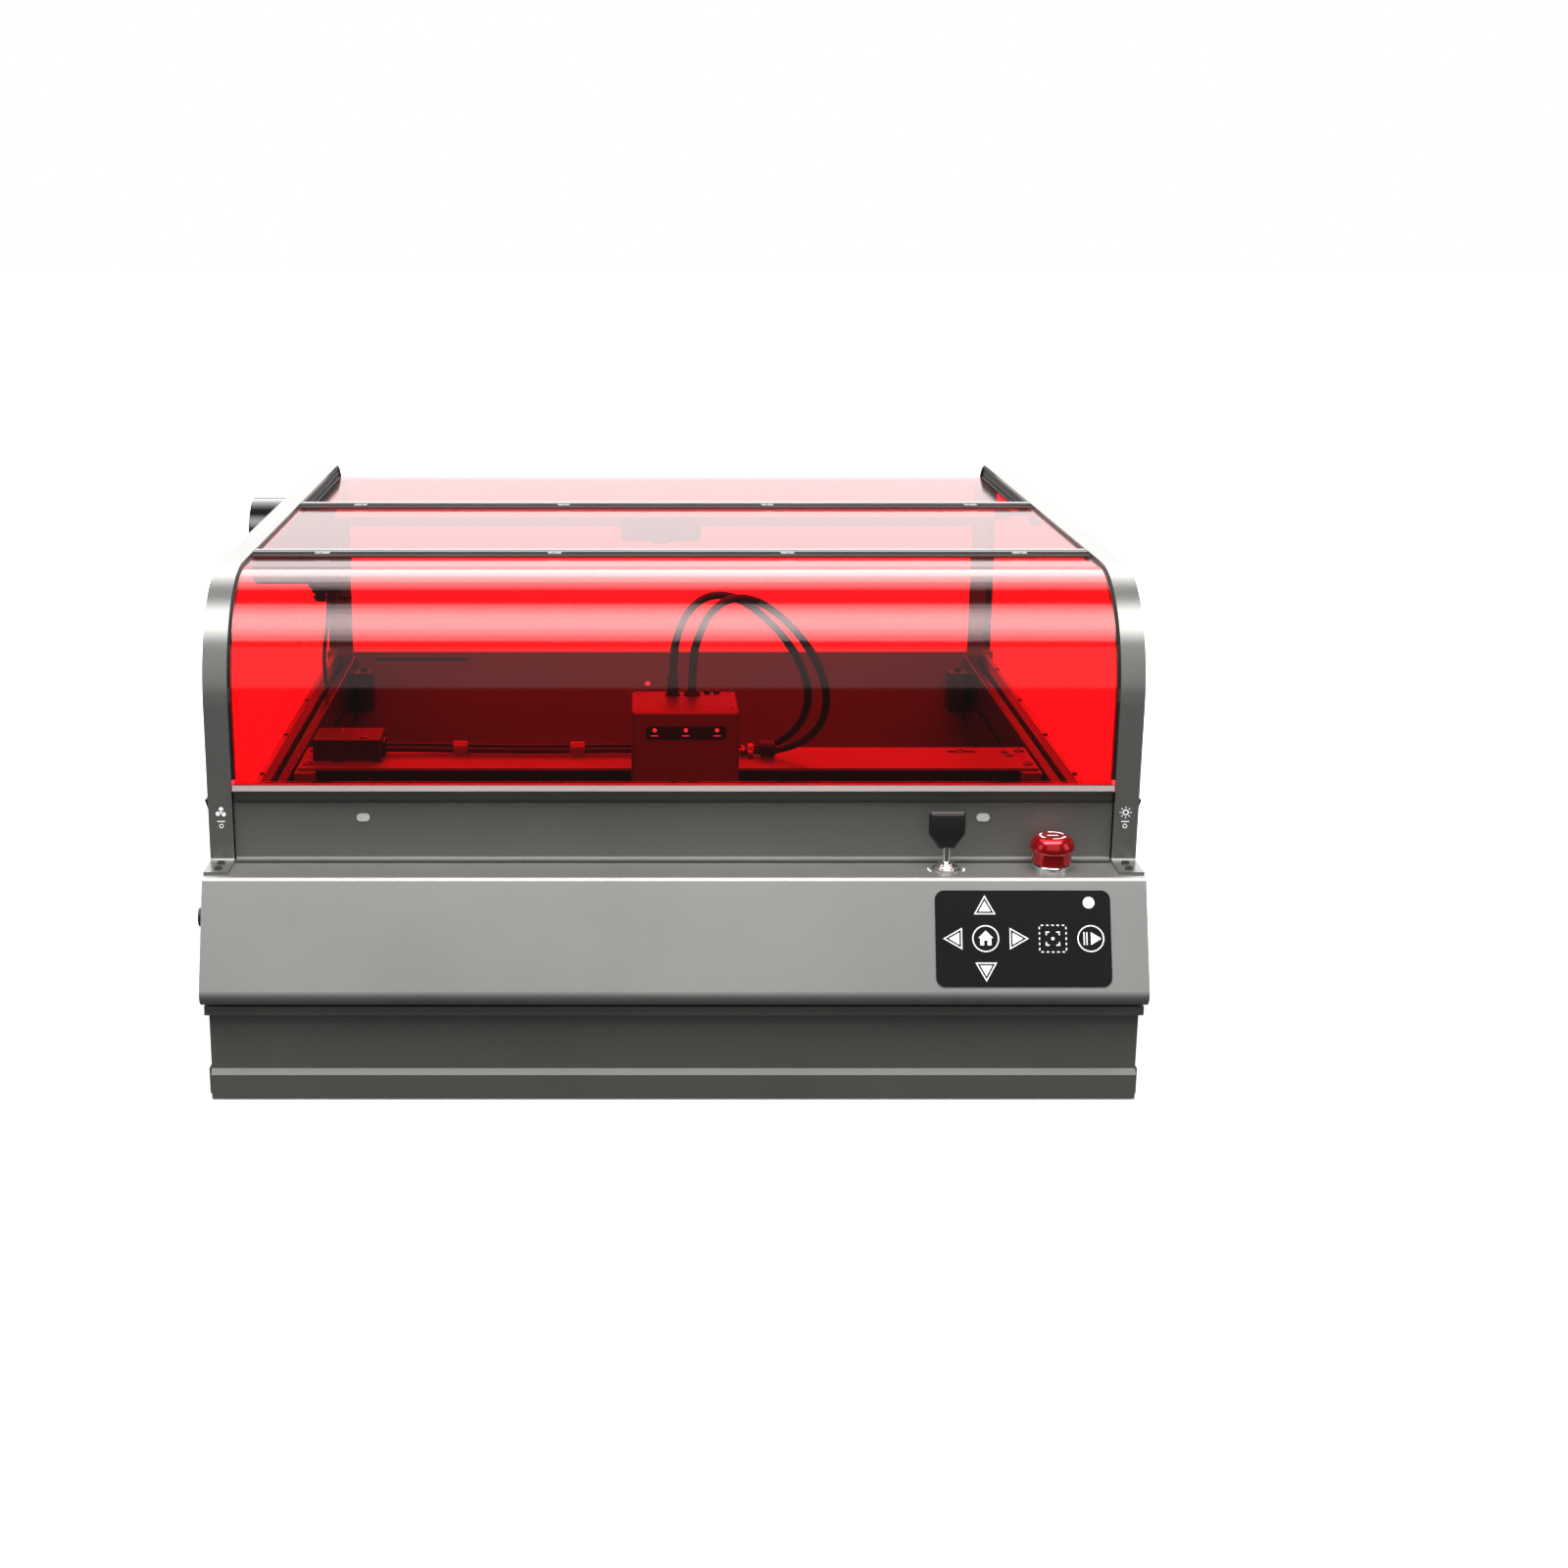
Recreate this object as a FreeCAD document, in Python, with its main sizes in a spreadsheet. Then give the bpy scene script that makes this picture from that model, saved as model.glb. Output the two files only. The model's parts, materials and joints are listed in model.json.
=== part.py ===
import FreeCAD, Part
import math
import os

import Sketcher

# Desktop laser engraver: an enclosed machine on a riser base with a drawer.
# Millimetres, +Z up, X to the right of the operator, the operator stands on the -Y side.
# The origin is on the resting face, under the middle of the cabinet.

Vector = FreeCAD.Vector

DIMENSIONS = [
    ("half_width", 306, "cabinet centre to outer side"),
    ("cabinet_top", 333, "top of the side frames"),
    ("frame_front", -288, "front face of the side frames"),
    ("frame_rear", 348, "rear face of the side frames"),
    ("strip_width", 16, "width of the side frame's band"),
    ("strip_sheet", 2.5, "thickness of the band"),
    ("skin_sheet", 1.5, "thickness of the outer side skins"),
    ("flange_depth", 14, "depth of the side frame's outer flange"),
    ("front_radius", 80, "large bend at the front top"),
    ("rear_radius", 40, "bend at the rear top"),
    ("sheet", 2, "general sheet thickness"),
    ("acrylic", 3, "thickness of the red windows"),
    ("shelf_level", 146, "top of the front shelf"),
    ("belt_level", 150, "joint between side panel and side window"),
    ("base_top", 59.5, "underside of the base's rim"),
    ("rim_top", 65.5, "top of the base's rim"),
    ("cabinet_floor", 67, "bottom edge of the cabinet"),
    ("base_half_width", 302.25, "base centre to its side wall"),
    ("base_front", -338.5, "front face of the drawer"),
    ("skirt_out", 3.25, "how far the base's foot skirt stands out"),
    ("skirt_top", 21, "top of the skirt's bevel"),
    ("skirt_low", 17.5, "bottom of the skirt's bevel"),
    ("console_top_edge", -320.5, "corner of shelf and sloped face"),
    ("console_low_edge", -354.2, "corner of sloped face and underside"),
    ("console_back", -285, "rear edge of the shelf"),
    ("wall_top", 194, "top of the front wall"),
    ("rail_inner", 278.5, "rail's inner face"),
    ("rail_outer", 297, "rail's outer face"),
    ("rail_top", 159, "top of the rails"),
    ("rail_bottom", 99, "bottom of the rails"),
    ("rail_front", -282, "front end of the rails"),
    ("rail_rear", 312, "rear end of the rails"),
    ("housing_front", 317, "front face of the rear housing"),
    ("housing_top", 161, "top of the rear housing"),
    ("window_back_top", 321, "top of the fixed rear window"),
    ("window_back_rear", 334, "rear face of the fixed rear window"),
    ("hinge_y", 74, "lid hinge axis"),
    ("hinge_z", 324, "lid hinge axis"),
    ("hinge_pin_radius", 2, "lid hinge pin"),
    ("lid_half_width", 288, "lid window centre to edge"),
    ("bar_half_length", 289.3, "lid crossbar and handle centre to end"),
    ("beam_front", -92, "front face of the gantry beam"),
    ("beam_rear", -56, "rear face of the gantry beam"),
    ("beam_top", 157, "top of the gantry beam"),
    ("beam_bottom", 107, "bottom of the gantry beam"),
    ("beam_half_length", 262, "gantry beam centre to end"),
    ("head_x", 11, "laser head's centre"),
    ("head_half_width", 38.25, "laser head's half width"),
    ("head_front", -163.5, "laser head's front face"),
    ("head_rear", -98, "laser head's rear face"),
    ("head_bottom", 105, "underside of the laser head's housing"),
    ("head_split", 209, "joint between housing and cover"),
    ("head_top", 219, "top of the laser head"),
    ("roller_x", 268.4, "guide roller axis from centre"),
    ("roller_y", -44, "guide roller axis"),
    ("roller_radius", 10, "guide roller"),
    ("roller_level", 130, "middle of the guide rollers"),
    ("fan_y", 242, "fan axis"),
    ("fan_z", 276, "fan axis"),
    ("fan_side", 80, "fan frame's side"),
    ("duct_radius", 38, "outside of the exhaust spigot"),
    ("duct_end", -355, "outer end of the exhaust spigot"),
    ("stop_x", 247.7, "emergency stop"),
    ("key_x", 178.8, "key switch"),
    ("control_y", -301.5, "emergency stop and key switch"),
    ("side_switch_y", -273, "side rocker switches"),
    ("side_switch_z", 178, "side rocker switches"),
    ("power_switch_y", -321, "mains rocker switch"),
    ("power_switch_z", 88, "mains rocker switch"),
    ("hose_radius", 3, "hoses to the laser head"),
]


SLOT_HALF = 4  # half the height of the rail's belt slot
SLOT_DEPTH = 4.5  # depth of the rail's belt slot
FIT_GAP = 1  # clearance between the red sheets and the frames around them
BED_THICKNESS = 12  # honeycomb bed
CONSOLE_BEND = 8  # outer radius between the console's sloped face and its underside


class Length:
    """A number together with the spreadsheet expression that gives it."""

    def __init__(self, text, value):
        self.text = text
        self.value = value

    def combine(self, other, sign, value):
        return Length("(%s %s %s)" % (self.text, sign, as_length(other).text), value)

    def __add__(self, other):
        return self.combine(other, "+", self.value + number(other))

    def __radd__(self, other):
        return as_length(other) + self

    def __sub__(self, other):
        return self.combine(other, "-", self.value - number(other))

    def __rsub__(self, other):
        return as_length(other) - self

    def __mul__(self, other):
        return self.combine(other, "*", self.value * number(other))

    def __rmul__(self, other):
        return as_length(other) * self

    def __truediv__(self, other):
        return self.combine(other, "/", self.value / number(other))

    def __neg__(self):
        return Length("(0 - %s)" % self.text, -self.value)


def as_length(item):
    if isinstance(item, Length):
        return item
    return Length(repr(float(item)), float(item))


def number(item):
    return item.value if isinstance(item, Length) else float(item)


class Sizes:
    """Each spreadsheet alias as an attribute."""


doc = FreeCAD.newDocument("laser_engraver")
sheet = doc.addObject("Spreadsheet::Sheet", "dims")
d = Sizes()
for row, (alias, value, meaning) in enumerate(DIMENSIONS, start=1):
    sheet.set("A%d" % row, meaning)
    sheet.set("B%d" % row, str(value))
    sheet.setAlias("B%d" % row, alias)
    setattr(d, alias, Length("dims.%s" % alias, float(value)))
doc.recompute()

nodes = []
TURN_TO_X = FreeCAD.Rotation(Vector(0, 1, 0), 90)
TURN_TO_MINUS_X = FreeCAD.Rotation(Vector(0, 1, 0), -90)
TURN_TO_Y = FreeCAD.Rotation(Vector(1, 0, 0), -90)
TURN_TO_MINUS_Z = FreeCAD.Rotation(Vector(1, 0, 0), 180)
NO_TURN = FreeCAD.Rotation()
AXIS_TURNS = {"x": TURN_TO_X, "y": TURN_TO_Y, "z": NO_TURN}


def bind(item, name, length):
    """Bind a property to the expression behind a length."""
    item.setExpression(name, as_length(length).text)


def place(item, spot, turn=NO_TURN):
    item.Placement = FreeCAD.Placement(Vector(*[number(c) for c in spot]), turn)
    for letter, coordinate in zip("xyz", spot):
        bind(item, "Placement.Base." + letter, coordinate)


def keep(label, item):
    """Register a sub-part under its node name."""
    item.Label = label
    nodes.append(item)
    return item


def box(low, high):
    item = doc.addObject("Part::Box", "Block")
    for name, start, end in zip(("Length", "Width", "Height"), low, high):
        bind(item, name, end - as_length(start))
    place(item, low)
    return item


def cylinder(spot, axis, radius, length):
    item = doc.addObject("Part::Cylinder", "Rod")
    bind(item, "Radius", radius)
    bind(item, "Height", length)
    place(item, spot, AXIS_TURNS[axis])
    return item


def prism(spot, axis, radius, length, sides=6):
    item = doc.addObject("Part::Prism", "Socket")
    item.Polygon = sides
    bind(item, "Circumradius", radius)
    bind(item, "Height", length)
    place(item, spot, AXIS_TURNS[axis])
    return item


def fuse(pieces):
    item = doc.addObject("Part::MultiFuse", "Joined")
    item.Shapes = pieces
    item.Refine = True
    return item


def group(pieces):
    """Several separate solids that share one node."""
    item = doc.addObject("Part::Compound", "Group")
    item.Links = pieces
    return item


def cut(base, tools):
    item = doc.addObject("Part::Cut", "Trimmed")
    item.Base = base
    item.Tool = tools[0] if len(tools) == 1 else fuse(tools)
    return item


def origin_plane(body, role):
    return [f for f in body.Origin.OriginFeatures if f.Role == role][0]


def constrain(sketch, name, constraint, length):
    index = sketch.addConstraint(constraint)
    sketch.renameConstraint(index, name)
    bind(sketch, "Constraints." + name, length)


def rounded_corner(before, corner, after, radius):
    """Tangent points and middle of the arc that rounds a corner."""
    toward_before = (before - corner).normalize()
    toward_after = (after - corner).normalize()
    half_angle = toward_before.getAngle(toward_after) / 2
    reach = radius / math.tan(half_angle)
    centre = corner + (toward_before + toward_after).normalize() * (radius / math.sin(half_angle))
    middle = centre + (corner - centre).normalize() * radius
    return corner + toward_before * reach, middle, corner + toward_after * reach


def draw_outline(sketch, tag, corners):
    """A closed outline of straight lines; a corner's third value is its radius."""
    count = len(corners)
    spots = [Vector(number(c[0]), number(c[1]), 0) for c in corners]
    radii = [number(c[2]) if len(c) > 2 else 0 for c in corners]
    bends = []
    for i in range(count):
        if radii[i] > 0:
            bends.append(rounded_corner(spots[i - 1], spots[i], spots[(i + 1) % count], radii[i]))
        else:
            bends.append((spots[i], spots[i], spots[i]))
    lines = []
    for i in range(count):
        line = Part.LineSegment(bends[i][2], bends[(i + 1) % count][0])
        lines.append(sketch.addGeometry(line, False))
    for i, corner in enumerate(corners):
        entering = lines[i - 1]
        leaving = lines[i]
        if radii[i] > 0:
            first_end, middle, last_end = bends[i]
            clockwise = (middle - first_end).cross(last_end - middle).z < 0
            ends = (last_end, first_end) if clockwise else (first_end, last_end)
            arc = sketch.addGeometry(Part.Arc(ends[0], middle, ends[1]), False)
            begins = (sketch.Geometry[arc].StartPoint - bends[i][0]).Length < 1e-6
            first, second = (1, 2) if begins else (2, 1)
            point = sketch.addGeometry(Part.Point(spots[i]), True)
            sketch.addConstraint(Sketcher.Constraint("Tangent", entering, 2, arc, first))
            sketch.addConstraint(Sketcher.Constraint("Tangent", arc, second, leaving, 1))
            sketch.addConstraint(Sketcher.Constraint("PointOnObject", point, 1, entering))
            sketch.addConstraint(Sketcher.Constraint("PointOnObject", point, 1, leaving))
            radius = Sketcher.Constraint("Radius", arc, radii[i])
            constrain(sketch, "%s_radius_%d" % (tag, i), radius, corner[2])
        else:
            sketch.addConstraint(Sketcher.Constraint("Coincident", entering, 2, leaving, 1))
            point = leaving
        across = Sketcher.Constraint("DistanceX", -1, 1, point, 1, spots[i].x)
        up = Sketcher.Constraint("DistanceY", -1, 1, point, 1, spots[i].y)
        constrain(sketch, "%s_across_%d" % (tag, i), across, corner[0])
        constrain(sketch, "%s_up_%d" % (tag, i), up, corner[1])


def draw_circle(sketch, tag, across, up, radius):
    centre = Vector(number(across), number(up), 0)
    circle = sketch.addGeometry(Part.Circle(centre, Vector(0, 0, 1), number(radius)), False)
    spot_x = Sketcher.Constraint("DistanceX", -1, 1, circle, 3, centre.x)
    spot_y = Sketcher.Constraint("DistanceY", -1, 1, circle, 3, centre.y)
    size = Sketcher.Constraint("Radius", circle, number(radius))
    constrain(sketch, tag + "_across", spot_x, across)
    constrain(sketch, tag + "_up", spot_y, up)
    constrain(sketch, tag + "_radius", size, radius)


def sketch_on(body, role, start):
    sketch = body.newObject("Sketcher::SketchObject", "Outline")
    sketch.AttachmentSupport = [(origin_plane(body, role), "")]
    sketch.MapMode = "FlatFace"
    bind(sketch, "AttachmentOffset.Base.z", start)
    return sketch


def padded(role, start, length, outlines, circles=()):
    """A sheet or bar: outlines on an origin plane, padded along its normal.

    YZ_Plane grows towards +X, XY_Plane towards +Z, XZ_Plane towards -Y from y = -start.
    """
    body = doc.addObject("PartDesign::Body", "Body")
    sketch = sketch_on(body, role, start)
    for i, corners in enumerate(outlines):
        draw_outline(sketch, "o%d" % i, corners)
    for i, (across, up, radius) in enumerate(circles):
        draw_circle(sketch, "c%d" % i, across, up, radius)
    pad = body.newObject("PartDesign::Pad", "Pad")
    pad.Profile = sketch
    bind(pad, "Length", length)
    sketch.Visibility = False
    doc.recompute()
    return body


def round_edges(body, radius, wanted):
    """Fillet the edges of a body's tip that the test picks."""
    base = body.Tip
    names = []
    for i, edge in enumerate(base.Shape.Edges, start=1):
        if wanted(edge):
            names.append("Edge%d" % i)
    fillet = body.newObject("PartDesign::Fillet", "Rounding")
    fillet.Base = (base, names)
    bind(fillet, "Radius", radius)
    doc.recompute()
    return body


def turned(spot, turn, corners):
    """A turned piece: (radius, height) corners revolved about its own axis."""
    body = doc.addObject("PartDesign::Body", "Body")
    sketch = sketch_on(body, "XZ_Plane", 0)
    draw_outline(sketch, "o", corners)
    revolution = body.newObject("PartDesign::Revolution", "Turning")
    revolution.Profile = sketch
    revolution.ReferenceAxis = (sketch, ["V_Axis"])
    revolution.Angle = 360
    place(body, spot, turn)
    doc.recompute()
    return body


def side_span(side, inner, outer):
    """Low and high X of something between two distances from the centre, on one side of it."""
    if side > 0:
        return as_length(inner), as_length(outer)
    return -as_length(outer), -as_length(inner)


def socket_screw(spot, head_radius, head_height):
    """Head of a hexagon socket screw, standing on its seat along +Z."""
    head = cylinder(spot, "z", head_radius, head_height)
    recess_floor = as_length(spot[2]) + head_height * 0.4
    recess = prism((spot[0], spot[1], recess_floor), "z", head_radius * 0.5, head_height)
    return cut(head, [recess])


# Base and drawer -----------------------------------------------------------------------------


def base_tray():
    """Folded pan: floor, two side walls with a skirt, rear wall and a rim all round."""
    inner = d.base_half_width - d.sheet
    rear_inner = d.frame_rear - d.sheet
    wall_front = d.base_front + 8
    floor = box((-inner, wall_front, 0), (inner, rear_inner, d.sheet))
    pieces = [floor]
    for side in (-1, 1):
        wall_outline = [
            (side * (d.base_half_width + d.skirt_out), 0),
            (side * (d.base_half_width + d.skirt_out), d.skirt_low),
            (side * d.base_half_width, d.skirt_top),
            (side * d.base_half_width, d.base_top),
            (side * inner, d.base_top),
            (side * inner, 0),
        ]
        pieces.append(padded("XZ_Plane", -d.frame_rear, d.frame_rear - wall_front, [wall_outline]))
    pieces.append(box((-inner, rear_inner, 0), (inner, d.frame_rear, d.base_top)))
    rim_half = d.half_width - 1.5
    rim_front = d.base_front - 4.5
    opening_half_width = 280
    opening_half_depth = 316
    opening = rectangle(-opening_half_width, -opening_half_depth, opening_half_width, opening_half_depth)
    rim = padded("XY_Plane", d.base_top, d.rim_top - d.base_top, [
        rectangle(-rim_half, rim_front, rim_half, d.frame_rear), opening])
    seat = padded("XY_Plane", d.rim_top, d.cabinet_floor - d.rim_top, [
        rectangle(5 - rim_half, rim_front + 12, rim_half - 5, d.frame_rear - 5), opening])
    return keep("base_tray", fuse(pieces + [rim, seat]))


def rectangle(left, low, right, high, radius=0):
    return [(left, low, radius), (right, low, radius), (right, high, radius), (left, high, radius)]


def drawer():
    """Full-width drawer front, a shallow tray and the honeycomb bed on it."""
    front = d.base_front
    back = front + 5
    outline = [
        (front - d.skirt_out, 1),
        (front - d.skirt_out, d.skirt_low),
        (front, d.skirt_top),
        (front, d.base_top - 0.8),
        (back, d.base_top - 0.8),
        (back, 1),
    ]
    keep("drawer_front", padded("YZ_Plane", -d.base_half_width, 2 * d.base_half_width, [outline]))

    tray_half = 288
    tray_rear = 300
    tray_low = 4
    tray_floor = 5.5
    tray_top = 44
    shell = box((-tray_half, back, tray_low), (tray_half, tray_rear, tray_top))
    well = box((2 - tray_half, back + 2, tray_floor), (tray_half - 2, tray_rear - 2, tray_top + 1))
    keep("drawer_tray", cut(shell, [well]))

    bed_low = tray_top
    bed_high = tray_top + BED_THICKNESS
    bed_half = 262
    bed_front = -250
    bed_rear = 262
    border = 14
    pitch = 18
    slat = 1.2
    frame = padded("XY_Plane", bed_low, bed_high - bed_low, [
        rectangle(-tray_half, bed_front - 60, tray_half, tray_rear),
        rectangle(border - bed_half, bed_front + border, bed_half - border, bed_rear - border),
    ])
    pieces = [frame]
    span = bed_rear - bed_front - 2 * border
    slat_end = bed_half - border + 1
    for i in range(1, int(span / pitch) + 1):
        y = bed_front + border + i * pitch
        pieces.append(box((-slat_end, y, bed_low), (slat_end, y + slat, bed_high)))
    keep("honeycomb_bed", fuse(pieces))


# Cabinet -------------------------------------------------------------------------------------


def console_inset(depth):
    """How far the sloped face moves back on Y when its sheet is that deep."""
    run = (number(d.console_top_edge) - number(d.console_low_edge))
    rise = number(d.shelf_level) - number(d.cabinet_floor)
    return depth * math.hypot(run, rise) / rise


def console_slope():
    run = (d.console_top_edge - d.console_low_edge)
    return run / (d.shelf_level - d.cabinet_floor)


def front_console():
    """Folded sheet: shelf, sloped control face and the rounded return below."""
    sheet_back = console_inset(number(d.sheet))
    inner_low = d.console_low_edge + sheet_back + console_slope() * d.sheet
    inner_top = d.console_top_edge + sheet_back - console_slope() * d.sheet
    underside_back = -322
    outline = [
        (d.console_back, d.shelf_level),
        (d.console_top_edge, d.shelf_level, 4),
        (d.console_low_edge, d.cabinet_floor, CONSOLE_BEND),
        (underside_back, d.cabinet_floor),
        (underside_back, d.cabinet_floor + d.sheet),
        (inner_low, d.cabinet_floor + d.sheet, CONSOLE_BEND - d.sheet),
        (inner_top, d.shelf_level - d.sheet, 2),
        (d.console_back, d.shelf_level - d.sheet),
    ]
    inner_half = d.half_width - d.skin_sheet
    shell = padded("YZ_Plane", -inner_half, 2 * inner_half, [outline])
    stop_hole = cylinder((d.stop_x, d.control_y, d.shelf_level - 10), "z", 10.9, 20)
    key_hole = cylinder((d.key_x, d.control_y, d.shelf_level - 10), "z", 6.2, 20)
    keep("front_console", cut(shell, [stop_hole, key_hole]))


def front_wall():
    """Upright sheet behind the shelf, with a rounded foot and a set-back upper band."""
    outline = [
        (d.console_back - 2, d.shelf_level),
        (d.console_back - 2, d.shelf_level + 0.6),
        (d.console_back, d.shelf_level + 0.6, 1.8),
        (d.console_back, d.wall_top - 7),
        (d.console_back + 1.5, d.wall_top - 7),
        (d.console_back + 1.5, d.wall_top),
        (d.console_back + 3.5, d.wall_top),
        (d.console_back + 3.5, d.wall_top - 9),
        (d.console_back + 2, d.wall_top - 9),
        (d.console_back + 2, d.shelf_level),
    ]
    half = d.half_width - d.strip_width
    keep("front_wall", padded("YZ_Plane", -half, 2 * half, [outline]))

    windows = []
    window_level = 176.5
    half_long = 4.3
    half_tall = 2.65
    for x in (-204.4, 204.4):
        slot = rectangle(
            x - half_long, window_level - half_tall, x + half_long, window_level + half_tall, 2.6)
        windows.append(padded("XZ_Plane", -d.console_back, 0.6, [slot]))
    keep("front_windows", group(windows))


def side_panel(side, name):
    """Lower side: outer skin that also closes the console, a ledge and the rail's web."""
    skin_outline = [
        (d.console_back, d.belt_level),
        (d.console_back, d.shelf_level),
        (d.console_top_edge, d.shelf_level, 4),
        (d.console_low_edge, d.cabinet_floor, CONSOLE_BEND),
        (d.frame_rear - 2, d.cabinet_floor),
        (d.frame_rear - 2, d.housing_top),
        (d.housing_front, d.housing_top),
        (d.housing_front, d.belt_level),
    ]
    start, end = side_span(side, d.half_width - d.skin_sheet, d.half_width)
    pieces = [padded("YZ_Plane", start, end - start, [skin_outline])]
    folds = (
        (d.half_width - 1.2, d.belt_level - 2, d.belt_level),
        (d.rail_outer + 2, d.rail_bottom, d.rail_top),
        (d.rail_outer + 4.4, d.rail_top - 1.5, d.rail_top),
    )
    for reach, bottom, top in folds:
        low, high = side_span(side, d.rail_outer, reach)
        pieces.append(box((low, d.console_back + 2, bottom), (high, d.housing_front, top)))
    panel = fuse(pieces)
    if side > 0:
        half_long = 12.5
        half_tall = 8
        switch_hole = box(
            (d.half_width - 4, d.power_switch_y - half_long, d.power_switch_z - half_tall),
            (d.half_width + 4, d.power_switch_y + half_long, d.power_switch_z + half_tall))
        panel = cut(panel, [switch_hole])
    keep(name, panel)


def side_frame(side, name):
    """Bent hoop: a wide band with a foot on the shelf, and a flange down the outside."""
    inner_front = d.frame_front + d.strip_sheet
    inner_top = d.cabinet_top - d.strip_sheet
    inner_rear = d.frame_rear - d.strip_sheet
    foot_front = d.frame_front - 27
    band_outline = [
        (foot_front, d.shelf_level),
        (inner_front, d.shelf_level),
        (inner_front, inner_top, d.front_radius - d.strip_sheet),
        (inner_rear, inner_top, d.rear_radius - d.strip_sheet),
        (inner_rear, d.housing_top),
        (d.frame_rear, d.housing_top),
        (d.frame_rear, d.cabinet_top, d.rear_radius),
        (d.frame_front, d.cabinet_top, d.front_radius),
        (d.frame_front, d.shelf_level + 2, 2),
        (foot_front, d.shelf_level + 2),
    ]
    flange_front = d.frame_front + d.flange_depth
    flange_rear = d.frame_rear - d.flange_depth
    flange_top = d.cabinet_top - d.flange_depth
    pad_top = d.side_switch_z + 18
    pad_bottom = d.side_switch_z - 18
    flange_outline = [
        (d.frame_front, d.belt_level),
        (d.frame_front, d.cabinet_top, d.front_radius),
        (d.frame_rear, d.cabinet_top, d.rear_radius),
        (d.frame_rear, d.housing_top),
        (flange_rear, d.housing_top),
        (flange_rear, flange_top, d.rear_radius - d.flange_depth),
        (flange_front, flange_top, d.front_radius - d.flange_depth),
        (flange_front, pad_top),
        (flange_front + 14, pad_top, 4),
        (flange_front + 14, pad_bottom, 4),
        (flange_front, pad_bottom),
        (flange_front, d.belt_level),
    ]
    band_start, band_end = side_span(side, d.half_width - d.strip_width, d.half_width)
    band = padded("YZ_Plane", band_start, band_end - band_start, [band_outline])
    flange_start, flange_end = side_span(side, d.half_width - d.skin_sheet, d.half_width)
    half_deep = 7.4
    half_tall = 10.6
    switch_hole = rectangle(
        d.side_switch_y - half_deep, d.side_switch_z - half_tall,
        d.side_switch_y + half_deep, d.side_switch_z + half_tall)
    flange = padded("YZ_Plane", flange_start, flange_end - flange_start, [flange_outline, switch_hole])
    keep(name, fuse([band, flange]))


def side_window(side, name):
    """Red side window behind the frame's flange; the left one has the exhaust opening."""
    inset = d.strip_sheet + FIT_GAP
    front = d.frame_front + inset
    rear = d.frame_rear - inset
    top = d.cabinet_top - inset
    notch = d.side_switch_y + 11
    notch_top = d.side_switch_z + 16
    outline = [
        (front, notch_top),
        (front, top, d.front_radius - inset),
        (rear, top, d.rear_radius - inset),
        (rear, d.housing_top + 0.3),
        (d.housing_front - 0.5, d.housing_top + 0.3),
        (d.housing_front - 0.5, d.belt_level),
        (notch, d.belt_level),
        (notch, notch_top),
    ]
    outer = d.half_width - d.skin_sheet
    start, end = side_span(side, outer - d.acrylic, outer)
    exhaust_hole = [(d.fan_y, d.fan_z, 36)] if side < 0 else []
    keep(name, padded("YZ_Plane", start, end - start, [outline], exhaust_hole))


def rear_housing():
    """Folded rear box for the electronics, with the mains inlet in its back."""
    half = d.half_width - d.skin_sheet
    outline = [
        (d.housing_front, d.cabinet_floor),
        (d.housing_front, d.housing_top),
        (d.frame_rear, d.housing_top),
        (d.frame_rear, d.cabinet_floor),
        (d.frame_rear - d.sheet, d.cabinet_floor),
        (d.frame_rear - d.sheet, d.housing_top - d.sheet),
        (d.housing_front + d.sheet, d.housing_top - d.sheet),
        (d.housing_front + d.sheet, d.cabinet_floor),
    ]
    shell = padded("YZ_Plane", -half, 2 * half, [outline])
    left, right = 215, 245
    low, high = 90, 112
    hole = box((left, d.frame_rear - 5, low), (right, d.frame_rear + 5, high))
    keep("rear_housing", cut(shell, [hole]))

    socket_back = d.frame_rear - 16
    wall = 3
    body = box((left, socket_back, low), (right, d.frame_rear, high))
    mouth = box((left + wall, socket_back + wall, low + wall), (right - wall, d.frame_rear + 1, high - wall))
    blades = []
    for x, z in ((223, 103), (237, 103), (230, 98)):
        blades.append(box((x - 1, socket_back + wall - 1, z - 2), (x + 1, d.frame_rear - 3, z + 2)))
    keep("power_inlet", fuse([cut(body, [mouth])] + blades))


def rear_window():
    """Bent red sheet: the fixed rear part of the roof and the rear window."""
    top = d.window_back_top
    rear = d.window_back_rear
    front = d.hinge_y + 5.5
    outline = [
        (front, top - d.acrylic),
        (front, top),
        (rear, top, 12),
        (rear, d.housing_top),
        (rear - d.acrylic, d.housing_top),
        (rear - d.acrylic, top - d.acrylic, 9),
    ]
    half = d.half_width - d.skin_sheet - d.acrylic
    keep("rear_window", padded("YZ_Plane", -half, 2 * half, [outline]))


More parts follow.
